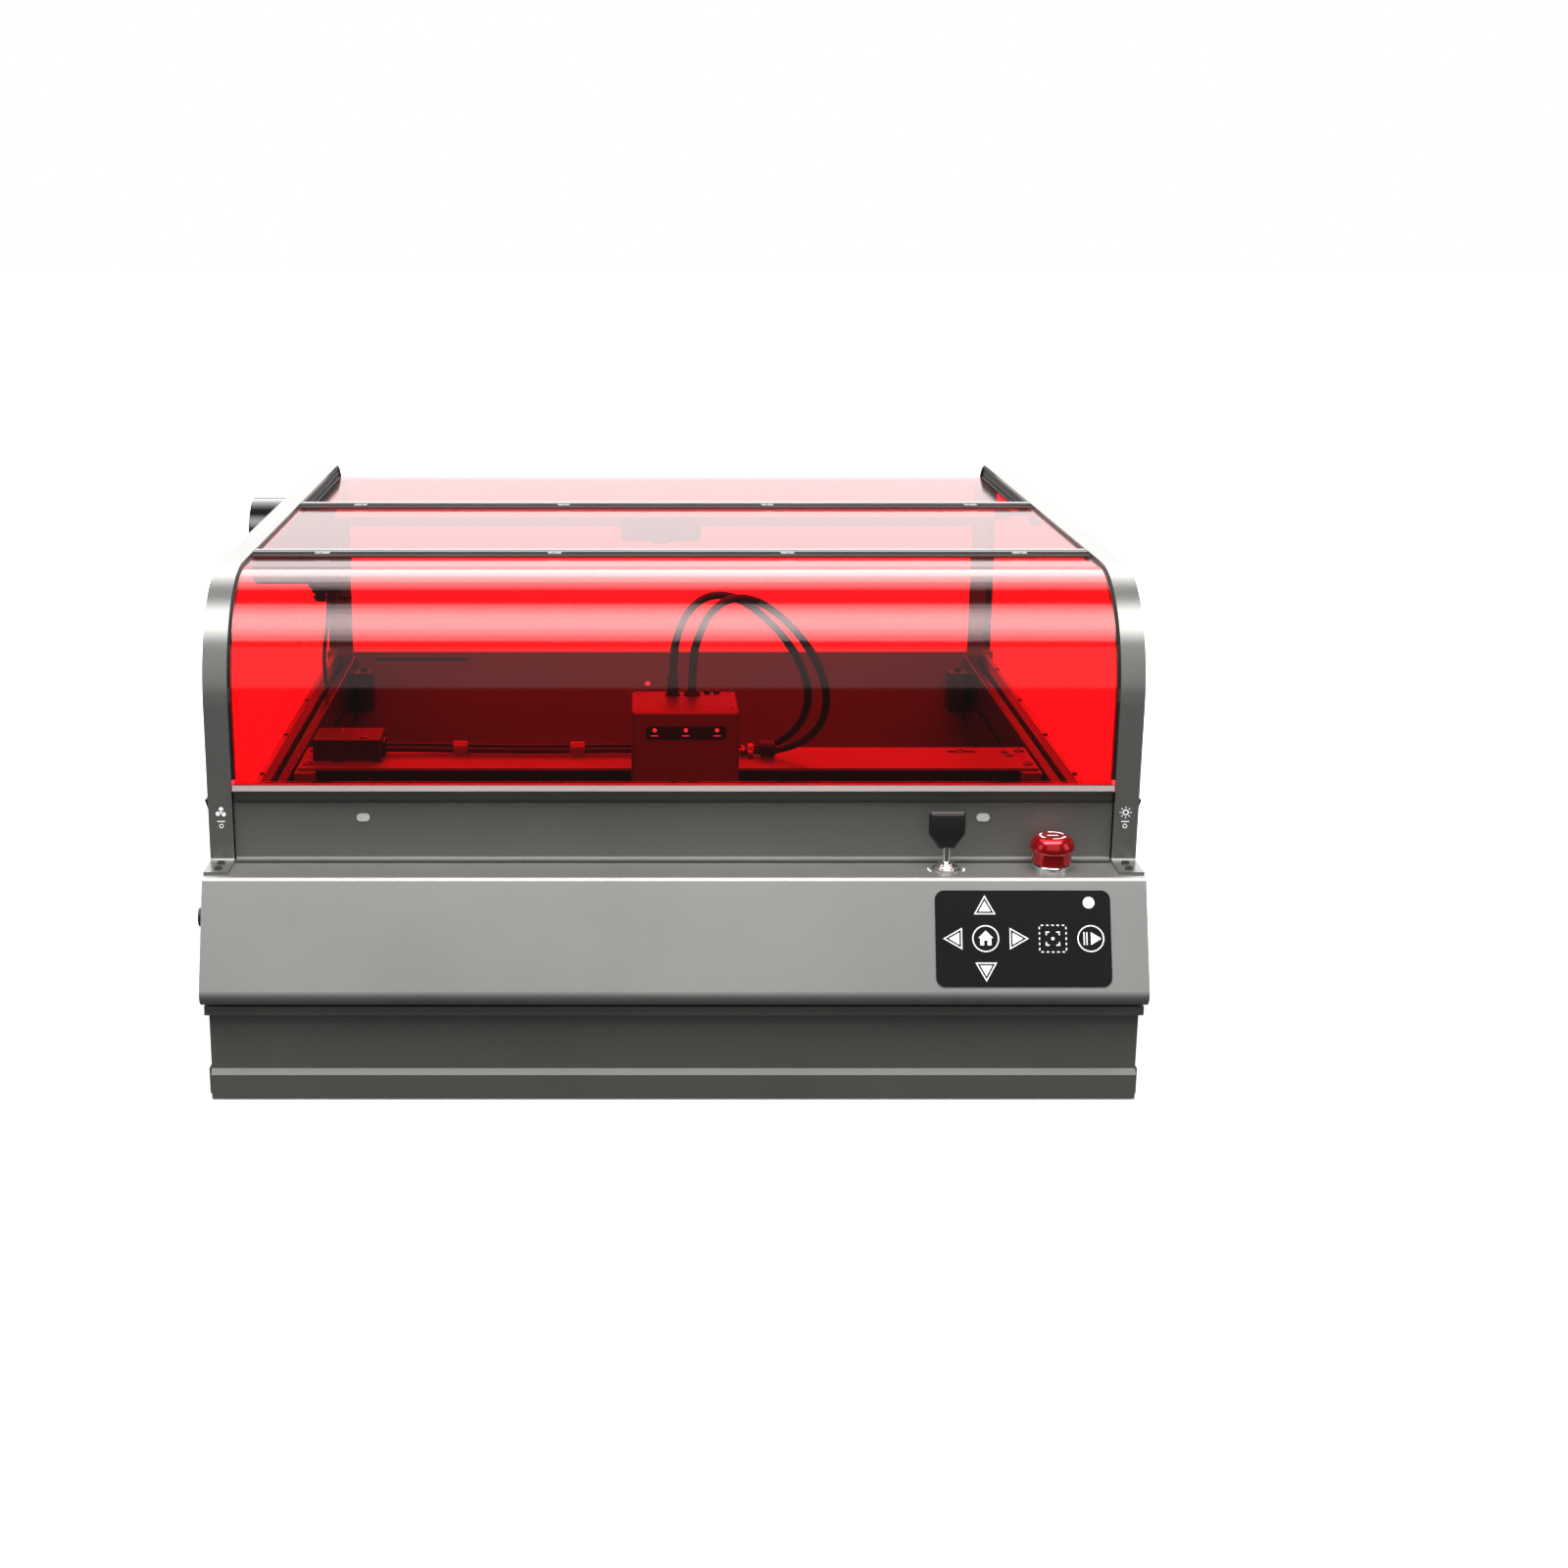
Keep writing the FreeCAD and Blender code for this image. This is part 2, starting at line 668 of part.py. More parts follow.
def rear_frame():
    """Portal of folded sheet inside the rear window; the camera hangs from it."""
    post_outer = 297
    post_inner = 282.5
    band_low = 276
    band_high = 297
    top = d.window_back_top - d.acrylic
    outline = [
        (-post_outer, d.housing_top),
        (-post_inner, d.housing_top),
        (-post_inner, band_low, 3),
        (post_inner, band_low, 3),
        (post_inner, d.housing_top),
        (post_outer, d.housing_top),
        (post_outer, top),
        (post_inner, top),
        (post_inner, band_high),
        (-post_inner, band_high),
        (-post_inner, top),
        (-post_outer, top),
    ]
    portal = padded("XZ_Plane", -(d.housing_front + 5), 2, [outline])
    keep("rear_frame", portal)

    half = 36.5
    low = 266
    high = band_high - 1
    face = d.housing_front + 3
    body = padded("XZ_Plane", -face, 24, [rectangle(-half, low, half, high, 5)])
    keep("camera_housing", body)
    lens = turned((0, face - 13, low), TURN_TO_MINUS_Z, [
        (0, 0), (10, 0), (10, 2.5, 1), (7.5, 2.5), (7.5, 1.5), (6, 1.5), (4, 3.2, 2), (0, 3.6)])
    keep("camera_lens", lens)


def rail(side, name):
    """Guide extrusion with a T-slot on top and a belt slot in the inner face that the roller runs on."""
    middle = (d.rail_inner + d.rail_outer) / 2
    level = d.roller_level
    groove_floor = d.rail_top - 6
    groove_lip = d.rail_top - 2
    outline = [
        (side * d.rail_inner, d.rail_bottom, 1),
        (side * d.rail_outer, d.rail_bottom, 1),
        (side * d.rail_outer, d.rail_top, 1),
        (side * (middle + 2.5), d.rail_top),
        (side * (middle + 2.5), groove_lip),
        (side * (middle + 5), groove_lip),
        (side * (middle + 5), groove_floor),
        (side * (middle - 5), groove_floor),
        (side * (middle - 5), groove_lip),
        (side * (middle - 2.5), groove_lip),
        (side * (middle - 2.5), d.rail_top),
        (side * d.rail_inner, d.rail_top, 1),
        (side * d.rail_inner, level + SLOT_HALF),
        (side * (d.rail_inner + SLOT_DEPTH), level + SLOT_HALF),
        (side * (d.rail_inner + SLOT_DEPTH), level - SLOT_HALF),
        (side * d.rail_inner, level - SLOT_HALF),
    ]
    hollow_start, hollow_end = side_span(side, middle - 5, middle + 5)
    hollow = rectangle(hollow_start, d.rail_bottom + 4, hollow_end, level - 8, 1)
    length = d.rail_rear - d.rail_front
    keep(name, padded("XZ_Plane", -d.rail_rear, length, [outline, hollow]))


def rail_fittings():
    """Fixed belts in the rails' slots, and the end stops."""
    belts = []
    stops = []
    slot_floor = d.rail_inner + SLOT_DEPTH
    belt_half = 3
    stop_bottom = 112
    stop_top = 148
    for side in (-1, 1):
        low, high = side_span(side, slot_floor - 1.3, slot_floor)
        belts.append(box(
            (low, d.rail_front + 2, d.roller_level - belt_half),
            (high, d.rail_rear - 2, d.roller_level + belt_half)))
        low, high = side_span(side, d.beam_half_length, d.rail_inner)
        for y_low, y_high in ((-280, -262), (284, 306)):
            block = box((low, y_low, stop_bottom), (high, y_high, stop_top))
            pin = cylinder(((low + high) / 2, (y_low + y_high) / 2, stop_top), "z", 3, 4)
            stops.append(fuse([block, pin]))
    keep("drive_belts", group(belts))
    keep("end_stops", group(stops))


# Exhaust -------------------------------------------------------------------------------------

BLADE_COUNT = 7


def exhaust():
    """Axial fan on the left window and the hose spigot outside."""
    inner_face = d.half_width - d.skin_sheet - d.acrylic
    outer_face = d.half_width - d.skin_sheet
    depth = 25
    half = d.fan_side / 2
    spoke_sheet = 2.5
    spoke_width = 4
    spoke_start = depth - spoke_sheet - inner_face
    frame_outline = rectangle(d.fan_y - half, d.fan_z - half, d.fan_y + half, d.fan_z + half, 4)
    frame = padded("YZ_Plane", -inner_face, depth, [frame_outline], [(d.fan_y, d.fan_z, 36.5)])
    motor_plate = cylinder((spoke_start, d.fan_y, d.fan_z), "x", 16, spoke_sheet)
    spokes = []
    for angle in (45, 135, 225, 315):
        spoke = doc.addObject("Part::Box", "Spoke")
        spoke.Length = spoke_sheet
        spoke.Width = spoke_width
        spoke.Height = 24
        turn = FreeCAD.Rotation(Vector(1, 0, 0), angle)
        offset = turn.multVec(Vector(0, -spoke_width / 2, 14))
        spot = (spoke_start, d.fan_y + offset.y, d.fan_z + offset.z)
        place(spoke, spot, turn)
        spokes.append(spoke)
    keep("fan_housing", fuse([frame, motor_plate] + spokes))

    rotor_start = 3.5 - inner_face
    hub = cylinder((rotor_start, d.fan_y, d.fan_z), "x", 17, 17)
    blades = []
    chord = 15
    blade_sheet = 1.4
    for i in range(BLADE_COUNT):
        blade = doc.addObject("Part::Box", "Blade")
        blade.Length = chord
        blade.Width = blade_sheet
        blade.Height = 19
        turn = FreeCAD.Rotation(Vector(1, 0, 0), i * 360 / BLADE_COUNT)
        pitch = FreeCAD.Rotation(Vector(0, 0, 1), 38)
        root = pitch.multVec(Vector(-chord / 2, -blade_sheet / 2, 0)) + Vector(0, 0, 16)
        offset = turn.multVec(root)
        spot = (rotor_start + 8.5 + offset.x, d.fan_y + offset.y, d.fan_z + offset.z)
        place(blade, spot, turn.multiply(pitch))
        blades.append(blade)
    keep("fan_rotor", fuse([hub] + blades))

    wall = 2.5
    flange_radius = 42
    reach = -d.duct_end - outer_face
    spigot = turned((-outer_face, d.fan_y, d.fan_z), TURN_TO_MINUS_X, [
        (d.duct_radius - wall, 0),
        (flange_radius, 0),
        (flange_radius, 3, 1),
        (d.duct_radius, 3),
        (d.duct_radius, reach, 1),
        (d.duct_radius - wall, reach),
    ])
    keep("exhaust_spigot", spigot)


# Cords ---------------------------------------------------------------------------------------

FAN_LEAD_ROUTE = [
    (-288, 206, 235.7), (-288.5, 204, 219), (-290, 197, 203), (-291.5, 191, 187), (-291.5, 189, 172),
    (-290.5, 189.5, 159.3)]

HOSE_RIGHT_ROUTE = [
    (17, -110, 219), (17, -110, 245), (21, -109, 262), (29, -107, 279), (44, -104, 290), (63, -101, 288),
    (82, -97, 275), (101, -91, 254), (115, -86, 228), (119, -80, 203), (112, -73, 182), (96, -66, 169),
    (78, -61, 164)]

HOSE_LEFT_ROUTE = [
    (3, -110, 219), (3, -110, 246), (6, -108, 264), (14, -104, 281), (29, -98, 291), (48, -93, 289),
    (67, -88, 276), (85, -82, 257), (99, -77, 235), (106, -71, 211), (103, -63, 190), (92, -56, 174),
    (78, -53, 165.5)]

BUNDLE_ROUTE = [
    (74, -56, 163.6), (54, -53, 163.6), (30, -52, 163.6), (0, -50.5, 163.6), (-34, -50.5, 163.6),
    (-68, -52, 163.6), (-104, -52.5, 163.6), (-136, -51, 163.6), (-168, -49, 163.6), (-195, -50, 164.4),
    (-216, -50, 164.4)]


def cord_path(route):
    """Straight runs joined by tangent arcs, each as large as its two runs allow."""
    spots = [Vector(*p) for p in route]
    edges = []
    radii = []
    start = spots[0]
    for i in range(1, len(spots) - 1):
        before = spots[i - 1] - spots[i]
        after = spots[i + 1] - spots[i]
        reach = 0.45 * min(before.Length, after.Length)
        half_turn = (math.pi - before.getAngle(after)) / 2
        radius = reach / math.tan(half_turn)
        radii.append(radius)
        first, middle, last = rounded_corner(spots[i - 1], spots[i], spots[i + 1], radius)
        edges.append(Part.LineSegment(start, first).toShape())
        edges.append(Part.Arc(first, middle, last).toShape())
        start = last
    edges.append(Part.LineSegment(start, spots[-1]).toShape())
    return Part.Wire(edges), radii


def cord_solid(route, radius):
    path, radii = cord_path(route)
    first = Vector(*route[0])
    direction = Vector(*route[1]) - first
    section = Part.Wire(Part.makeCircle(radius, first, direction))
    solid = path.makePipeShell([section], True, False)
    expected = math.pi * radius ** 2 * path.Length
    print("cord %.1f mm long, volume ratio %.4f, smallest bend %.1f mm, bends %s" % (
        path.Length, solid.Volume / expected, min(radii), ", ".join("%.0f" % r for r in radii)))
    return solid


def cords():
    """The leads that the machine holds from end to end."""
    hose_radius = number(d.hose_radius)
    recipes = (
        ("fan_lead", [(FAN_LEAD_ROUTE, 1.75)]),
        ("head_hoses", [(HOSE_RIGHT_ROUTE, hose_radius), (HOSE_LEFT_ROUTE, hose_radius)]),
        ("cable_bundle", [(BUNDLE_ROUTE, 4.2)]),
    )
    for name, runs in recipes:
        item = doc.addObject("Part::Feature", "Cord")
        solids = [cord_solid(route, radius) for route, radius in runs]
        item.Shape = solids[0] if len(solids) == 1 else Part.makeCompound(solids)
        keep(name, item)


# Lid -----------------------------------------------------------------------------------------


def lid():
    """Curved front window, flat top window, two crossbars, handle strip and hinge leaves."""
    outer_front = d.frame_front + d.strip_sheet
    outer_top = d.cabinet_top - d.strip_sheet
    half = d.lid_half_width
    seam = -162.5
    bottom = d.wall_top + 6.5
    radius = d.front_radius - d.strip_sheet
    shield = [
        (outer_front, bottom),
        (outer_front, outer_top, radius),
        (seam, outer_top),
        (seam, outer_top - d.acrylic),
        (outer_front + d.acrylic, outer_top - d.acrylic, radius - d.acrylic),
        (outer_front + d.acrylic, bottom),
    ]
    keep("lid_shield", padded("YZ_Plane", -half, 2 * half, [shield]))
    panel = box((-half, seam, outer_top - d.acrylic), (half, d.hinge_y, outer_top))
    keep("lid_top_panel", panel)

    end = d.bar_half_length
    recess = 1.6
    screws = []
    rows = (
        ("lid_bar_front", -171, -153.5, (-242, -81, 81, 242)),
        ("lid_bar_rear", 61, 77, (-240, -80, 80, 240)),
    )
    for name, front, rear, places in rows:
        plate = box((-end, front, outer_top), (end, rear, d.cabinet_top))
        screw_line = front + 4.2
        seats = []
        for x in places:
            seats.append(cylinder((x, screw_line, d.cabinet_top - recess), "z", 3.3, 3))
            screws.append(socket_screw((x, screw_line, d.cabinet_top - recess), 3.2, recess))
        keep(name, cut(plate, seats))
    keep("lid_screws", group(screws))

    handle = padded("XZ_Plane", 281.5, 9, [
        rectangle(-end, d.wall_top + 0.5, end, bottom, 2.9)])
    keep("lid_handle", handle)

    leaves = []
    brackets = []
    leaf_inner = 262
    pin_length = 30
    for side in (-1, 1):
        low, high = side_span(side, leaf_inner, 274)
        leaf_outline = [
            (d.hinge_y - 8, outer_top - d.acrylic),
            (d.hinge_y - 8, d.hinge_z - 3.5, 2),
            (d.hinge_y + 3.5, d.hinge_z - 3.5, 3),
            (d.hinge_y + 3.5, outer_top - d.acrylic),
        ]
        bore = (d.hinge_y, d.hinge_z, d.hinge_pin_radius + 0.05)
        leaves.append(padded("YZ_Plane", low, high - low, [leaf_outline], [bore]))
        low, high = side_span(side, 289.6, 299)
        bracket = box((low, d.hinge_y - 9, d.hinge_z - 8), (high, d.hinge_y + 5, outer_top))
        pin_start = side_span(side, leaf_inner, leaf_inner + pin_length)[0]
        pin = cylinder((pin_start, d.hinge_y, d.hinge_z), "x", d.hinge_pin_radius, pin_length)
        brackets.append(fuse([bracket, pin]))
    keep("lid_hinge_leaves", group(leaves))
    keep("hinge_brackets", group(brackets))


def frame_screws():
    """Visible screws of the fixed cabinet: frame feet, and the ledges beside the rails."""
    screws = []
    foot_top = d.shelf_level + 2
    foot_x = d.rail_outer + 0.5
    ledge_x = d.rail_outer + 2.2
    for side in (-1, 1):
        for y in (-296, -308):
            screws.append(socket_screw((side * foot_x, y, foot_top), 2.6, 1.4))
        for y in (-230, -110, 10, 130, 250):
            screws.append(socket_screw((side * ledge_x, y, d.rail_top), 1.9, 1.2))
    keep("frame_screws", group(screws))


# Gantry and laser head -----------------------------------------------------------------------


def gantry():
    """C-section beam with an integral guide, cover plate, end carriages and rollers."""
    end = d.beam_half_length
    guide_front = d.beam_rear - 12
    lip_low = d.roller_level - 13
    lip_high = d.roller_level + 17
    guide_low = 126
    guide_high = 138
    wall = 4
    outline = [
        (d.beam_front, d.beam_bottom),
        (d.beam_rear, d.beam_bottom),
        (d.beam_rear, d.beam_top),
        (d.beam_front, d.beam_top),
        (d.beam_front, lip_high),
        (d.beam_front + 3, lip_high),
        (d.beam_front + 3, d.beam_top - wall),
        (d.beam_rear - wall, d.beam_top - wall),
        (d.beam_rear - wall, guide_high),
        (guide_front, guide_high),
        (guide_front, guide_low),
        (d.beam_rear - wall, guide_low),
        (d.beam_rear - wall, d.beam_bottom + wall),
        (d.beam_front + 3, d.beam_bottom + wall),
        (d.beam_front + 3, lip_low),
        (d.beam_front, lip_low),
    ]
    keep("gantry_beam", padded("YZ_Plane", -end, 2 * end, [outline]))

    plate_half = 276
    plate_outline = rectangle(-plate_half, -93, plate_half, -30, 2)
    slots = []
    for x in (-243, 225):
        slots.append(rectangle(x - 11, -46, x + 11, -40, 2.9))
    keep("gantry_plate", padded("XY_Plane", d.beam_top, 2, [plate_outline] + slots))

    carriages = []
    roller_height = 14
    carriage_bottom = 112
    for side in (-1, 1):
        low, high = side_span(side, d.beam_half_length, d.rail_inner - 1.2)
        block = box((low, -100, carriage_bottom), (high, -26, d.beam_top))
        pocket_low, pocket_high = side_span(side, d.beam_half_length - 2, d.rail_inner + 1.5)
        pocket = box(
            (pocket_low, d.roller_y - 12, d.roller_level - 7.8),
            (pocket_high, d.roller_y + 19, d.roller_level + 7.8))
        axle = cylinder((side * d.roller_x, d.roller_y, carriage_bottom + 2), "z", 3, 30)
        carriages.append(fuse([cut(block, [pocket]), axle]))
        name = "guide_roller_right" if side > 0 else "guide_roller_left"
        roller = turned((side * d.roller_x, d.roller_y, d.roller_level - roller_height / 2), NO_TURN, [
            (3.05, 0),
            (d.roller_radius, 0, 0.8),
            (d.roller_radius, roller_height, 0.8),
            (3.05, roller_height)])
        keep(name, roller)
    keep("gantry_carriages", group(carriages))

    plate_top = d.beam_top + 2
    lid_top = 175.5
    cable_box = padded("XY_Plane", plate_top, lid_top - plate_top, [rectangle(-267, -72, -216, -33, 2)])
    keep("cable_box", round_edges(cable_box, 1, lambda e: is_level(e, lid_top)))


def is_level(edge, height):
    """True for an edge that lies flat at a height."""
    low = edge.BoundBox.ZMin
    high = edge.BoundBox.ZMax
    return abs(low - height) < 1e-6 and abs(high - height) < 1e-6


def laser_head():
    """Housing, cover, slider on the beam's guide, nozzle, side knob and hose fittings."""
    left = d.head_x - d.head_half_width
    right = d.head_x + d.head_half_width
    outline = rectangle(left, d.head_front, right, d.head_rear, 3)
    housing = padded("XY_Plane", d.head_bottom, d.head_split - d.head_bottom, [outline])
    keep("head_housing", housing)
    cover = padded("XY_Plane", d.head_split, d.head_top - d.head_split, [outline])
    top = number(d.head_top)
    keep("head_cover", round_edges(cover, 2.5, lambda e: is_level(e, top)))

    slider = box((d.head_x - 24, d.head_rear, 119), (d.head_x + 24, d.beam_rear - 6, 145))
    groove = box((d.head_x - 25, d.beam_rear - 12.4, 125.6), (d.head_x + 25, d.beam_rear, 138.4))
    keep("head_slider", cut(slider, [groove]))

    nozzle_y = -131
    nozzle = turned((d.head_x, nozzle_y, d.head_bottom), TURN_TO_MINUS_Z, [
        (2, 0), (17, 0), (17, 4, 1), (13, 4), (11, 9), (6, 20, 1), (3, 20), (2, 12)])
    keep("head_nozzle", nozzle)

    knob_level = 182
    knob = turned((right + 0.3, nozzle_y, knob_level), TURN_TO_X, [
        (0, 0), (3, 0), (3, 2.5), (6, 2.5, 0.8), (6, 11.5, 1.2), (0, 11.5)])
    keep("focus_knob", knob)

    fittings = []
    for x, y in ((3, -110), (17, -110)):
        fittings.append(turned((x, y, d.head_top), NO_TURN, [
            (3.15, 0), (5.6, 0), (5.6, 4), (4.9, 4.6), (4.9, 8), (4.3, 8.6), (4.3, 13, 0.6), (3.15, 13)]))
    keep("hose_fittings", group(fittings))


# Controls ------------------------------------------------------------------------------------


def control_panel():
    """Membrane keypad on the sloped face."""
    run = number(d.console_top_edge) - number(d.console_low_edge)
    rise = number(d.shelf_level) - number(d.cabinet_floor)
    tilt = math.degrees(math.atan2(rise, run))
    top_gap = 8.3
    tall = 62.4
    left = 168.7
    right = 282
    overlay = padded("XY_Plane", 0, 0.8, [rectangle(left, -top_gap - tall, right, -top_gap, 6)])
    place(overlay, (0, d.console_top_edge, d.shelf_level), FreeCAD.Rotation(Vector(1, 0, 0), tilt))
    keep("control_overlay", overlay)


def emergency_stop():
    """Chrome bezel, plunger and twist-release mushroom cap."""
    spot = (d.stop_x, d.control_y, d.shelf_level)
    keep("stop_bezel", turned(spot, NO_TURN, [(10.8, 0), (12.3, 0), (12.3, 4, 0.8), (10.8, 4)]))
    keep("stop_plunger", turned((d.stop_x, d.control_y, d.shelf_level - 2), NO_TURN, [
        (0, 0), (10.5, 0), (10.5, 11.5), (6, 11.5), (6, 16), (0, 16)]))
    cap_low = 9.3
    keep("stop_cap", turned(spot, NO_TURN, [
        (10.8, cap_low), (12.35, cap_low, 0.6), (12.35, 12.4), (14.75, 13.6, 1.5), (14.75, 17.5, 2),
        (12.6, 21.5, 2), (9.5, 23), (0, 23), (0, 14.3), (6.3, 14.3), (6.3, 9.8), (10.8, 9.8)]))


def key_switch():
    """Lock barrel through the shelf and the key that turns it."""
    barrel_low = -14
    keep("key_barrel", turned((d.key_x, d.control_y, d.shelf_level), NO_TURN, [
        (3.55, barrel_low), (6, barrel_low), (6, 0), (7.75, 0), (7.75, 3, 1.2), (3.55, 3)]))
    shaft = cylinder((d.key_x, d.control_y, d.shelf_level - 12), "z", 3.25, 27)
    bow_half = 11
    bow_low = 160.3
    bow_shoulder = 169.8
    bow_top = 183.5
    bow = padded("XZ_Plane", -(d.control_y + 1.8), 3.6, [[
        (d.key_x - 4.5, bow_low, 1),
        (d.key_x + 4.5, bow_low, 1),
        (d.key_x + bow_half, bow_shoulder, 1.5),
        (d.key_x + bow_half, bow_top, 2),
        (d.key_x - bow_half, bow_top, 2),
        (d.key_x - bow_half, bow_shoulder, 1.5)]])
    keep("key", fuse([shaft, bow]))


ROCKER_TILT = 8


def rocker(name, pivot, length, width, side, along):
    """Rocker switch cap in its off position, tilted about a pivot inside the panel."""
    half = length / 2
    outline = [
        (-half, -3), (half, -3), (half, 4.2, 0.8), (0, 2.6), (-half, 4.2, 0.8)]
    cap = padded("XY_Plane", -width / 2, width, [outline])
    tilt = FreeCAD.Rotation(Vector(0, 0, 1), ROCKER_TILT)
    outward = Vector(side, 0, 0)
    run = Vector(0, 0, 1) if along == "z" else Vector(0, 1, 0)
    facing = FreeCAD.Rotation(run, outward, run.cross(outward), "XYZ")
    place(cap, pivot, facing.multiply(tilt))
    keep(name, cap)


def rockers():
    pivot_x = d.half_width - 2
    rocker("fan_switch", (-pivot_x, d.side_switch_y, d.side_switch_z), 20, 14, -1, "z")
    rocker("light_switch", (pivot_x, d.side_switch_y, d.side_switch_z), 20, 14, 1, "z")
    rocker("power_switch", (pivot_x, d.power_switch_y, d.power_switch_z), 24, 15, 1, "y")


def console_caps():
    """Blanking cap and port cover on the console's left side."""
    button_radius = 6.3
    button_height = 2.4
    button = turned((-d.half_width, -323, 120), TURN_TO_MINUS_X, [
        (0, 0), (button_radius, 0), (button_radius, button_height, 0.8), (0, button_height)])
    cover = box((-(d.half_width + 1), -338, 80), (-d.half_width, -312, 92))
    keep("console_caps", group([button, cover]))


base_tray()
drawer()
side_panel(-1, "side_panel_left")
side_panel(1, "side_panel_right")
rear_housing()
front_console()
front_wall()
console_caps()
side_frame(-1, "side_frame_left")
side_frame(1, "side_frame_right")
side_window(-1, "side_window_left")
side_window(1, "side_window_right")
rear_window()
rear_frame()
rail(-1, "rail_left")
rail(1, "rail_right")
rail_fittings()
exhaust()
lid()
frame_screws()
gantry()
laser_head()
control_panel()
emergency_stop()
key_switch()
rockers()
cords()

doc.recompute()
for item in doc.Objects:
    if "Invalid" in item.State or "Error" in item.State:
        raise RuntimeError("%s failed to build: %s" % (item.Label, item.State))
names = [item.Label for item in nodes]
if len(set(names)) != len(names) or len(names) > 60:
    raise RuntimeError("node names clash or are too many: %d" % len(names))
for item in nodes:
    if item.Shape.isNull() or not item.Shape.isValid():
        raise RuntimeError("%s has no valid shape" % item.Label)

os.makedirs("parts", exist_ok=True)
for item in nodes:
    item.Shape.exportStep(os.path.join("parts", item.Label + ".step"))
print("%d nodes" % len(nodes))
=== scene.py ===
import json
import math

import bmesh
import bpy
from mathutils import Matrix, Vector


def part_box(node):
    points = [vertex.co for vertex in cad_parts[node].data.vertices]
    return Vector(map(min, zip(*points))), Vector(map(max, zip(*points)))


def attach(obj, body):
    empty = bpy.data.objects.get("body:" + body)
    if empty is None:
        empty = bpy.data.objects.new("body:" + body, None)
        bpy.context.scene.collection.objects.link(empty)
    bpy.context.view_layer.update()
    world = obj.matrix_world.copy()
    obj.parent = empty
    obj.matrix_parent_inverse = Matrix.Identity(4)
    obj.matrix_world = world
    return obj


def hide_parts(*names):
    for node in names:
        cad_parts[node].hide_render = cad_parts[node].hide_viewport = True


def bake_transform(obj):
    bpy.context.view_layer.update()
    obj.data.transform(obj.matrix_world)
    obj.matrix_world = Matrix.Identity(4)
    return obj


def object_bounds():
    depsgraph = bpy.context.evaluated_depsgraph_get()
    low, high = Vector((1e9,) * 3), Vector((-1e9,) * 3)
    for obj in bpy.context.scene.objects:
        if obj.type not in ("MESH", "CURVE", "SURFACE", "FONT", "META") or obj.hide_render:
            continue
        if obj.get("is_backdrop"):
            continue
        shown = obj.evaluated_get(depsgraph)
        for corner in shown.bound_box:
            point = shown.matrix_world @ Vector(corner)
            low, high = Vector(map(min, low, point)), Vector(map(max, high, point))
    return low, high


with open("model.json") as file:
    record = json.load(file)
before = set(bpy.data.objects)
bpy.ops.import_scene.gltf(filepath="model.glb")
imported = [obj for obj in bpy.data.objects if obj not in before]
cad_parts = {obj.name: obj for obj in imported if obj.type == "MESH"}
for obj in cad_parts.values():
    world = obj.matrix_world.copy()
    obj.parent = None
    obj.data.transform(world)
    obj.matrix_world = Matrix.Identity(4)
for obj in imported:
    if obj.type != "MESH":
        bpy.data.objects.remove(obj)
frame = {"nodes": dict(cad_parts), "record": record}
CAD_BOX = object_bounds()
NODES = frame["nodes"]
MM = 0.001

# Camera, floor and light ---------------------------------------------------------------------

CAMERA_SPOT = (-0.0303, -1.7135, 0.5887)
CAMERA_DOWN = 15.2488
CAMERA_LENS = 51.75
CAMERA_SHIFT = 0.1


def make_camera():
    """Camera a little left of the middle, looking down at the front."""
    camera = bpy.data.cameras.new("camera")
    camera.lens = CAMERA_LENS
    camera.sensor_width = 36
    camera.shift_x = CAMERA_SHIFT
    holder = bpy.data.objects.new("camera", camera)
    bpy.context.scene.collection.objects.link(holder)
    holder.location = CAMERA_SPOT
    holder.rotation_euler = (math.radians(90 - CAMERA_DOWN), 0, 0)
    bpy.context.scene.camera = holder


def softbox(name, spot, target, width, height, radiance):
    """Evenly bright rectangular light that mirrors in gloss but isn't seen itself."""
    lamp = bpy.data.lights.new(name, "AREA")
    lamp.shape = "RECTANGLE"
    lamp.size = width
    lamp.size_y = height
    lamp.energy = radiance * math.pi * width * height
    holder = bpy.data.objects.new(name, lamp)
    bpy.context.scene.collection.objects.link(holder)
    holder.location = spot
    holder.rotation_euler = (Vector(target) - Vector(spot)).to_track_quat("-Z", "Y").to_euler()
    holder.visible_camera = False


# Overhead light in strips, so that it fades towards its edges: where each starts and ends, and its radiance.
FRONT_STRIPS = [
    (-1.936, -1.604, 3.1), (-1.604, -1.317, 5.5), (-1.317, -1.06, 7.8), (-1.06, -0.825, 8.5),
    (-0.825, -0.603, 7.4), (-0.603, -0.39, 5.2), (-0.39, -0.18, 2.7)]
BACK_STRIPS = [(0.60, 0.80, 1.1), (0.80, 1.20, 2.3), (1.20, 1.90, 4.5), (1.90, 3.0, 6.3), (3.0, 4.2, 5.7)]
STRIP_HEIGHT = 2.3


def overhead_strips(name, strips, width):
    """A row of ceiling lights, each a strip across the object."""
    for i, (start, end, radiance) in enumerate(strips):
        middle = (start + end) / 2
        spot = (0, middle, STRIP_HEIGHT)
        softbox("%s_%d" % (name, i + 1), spot, (0, middle, 0), width, end - start, radiance)


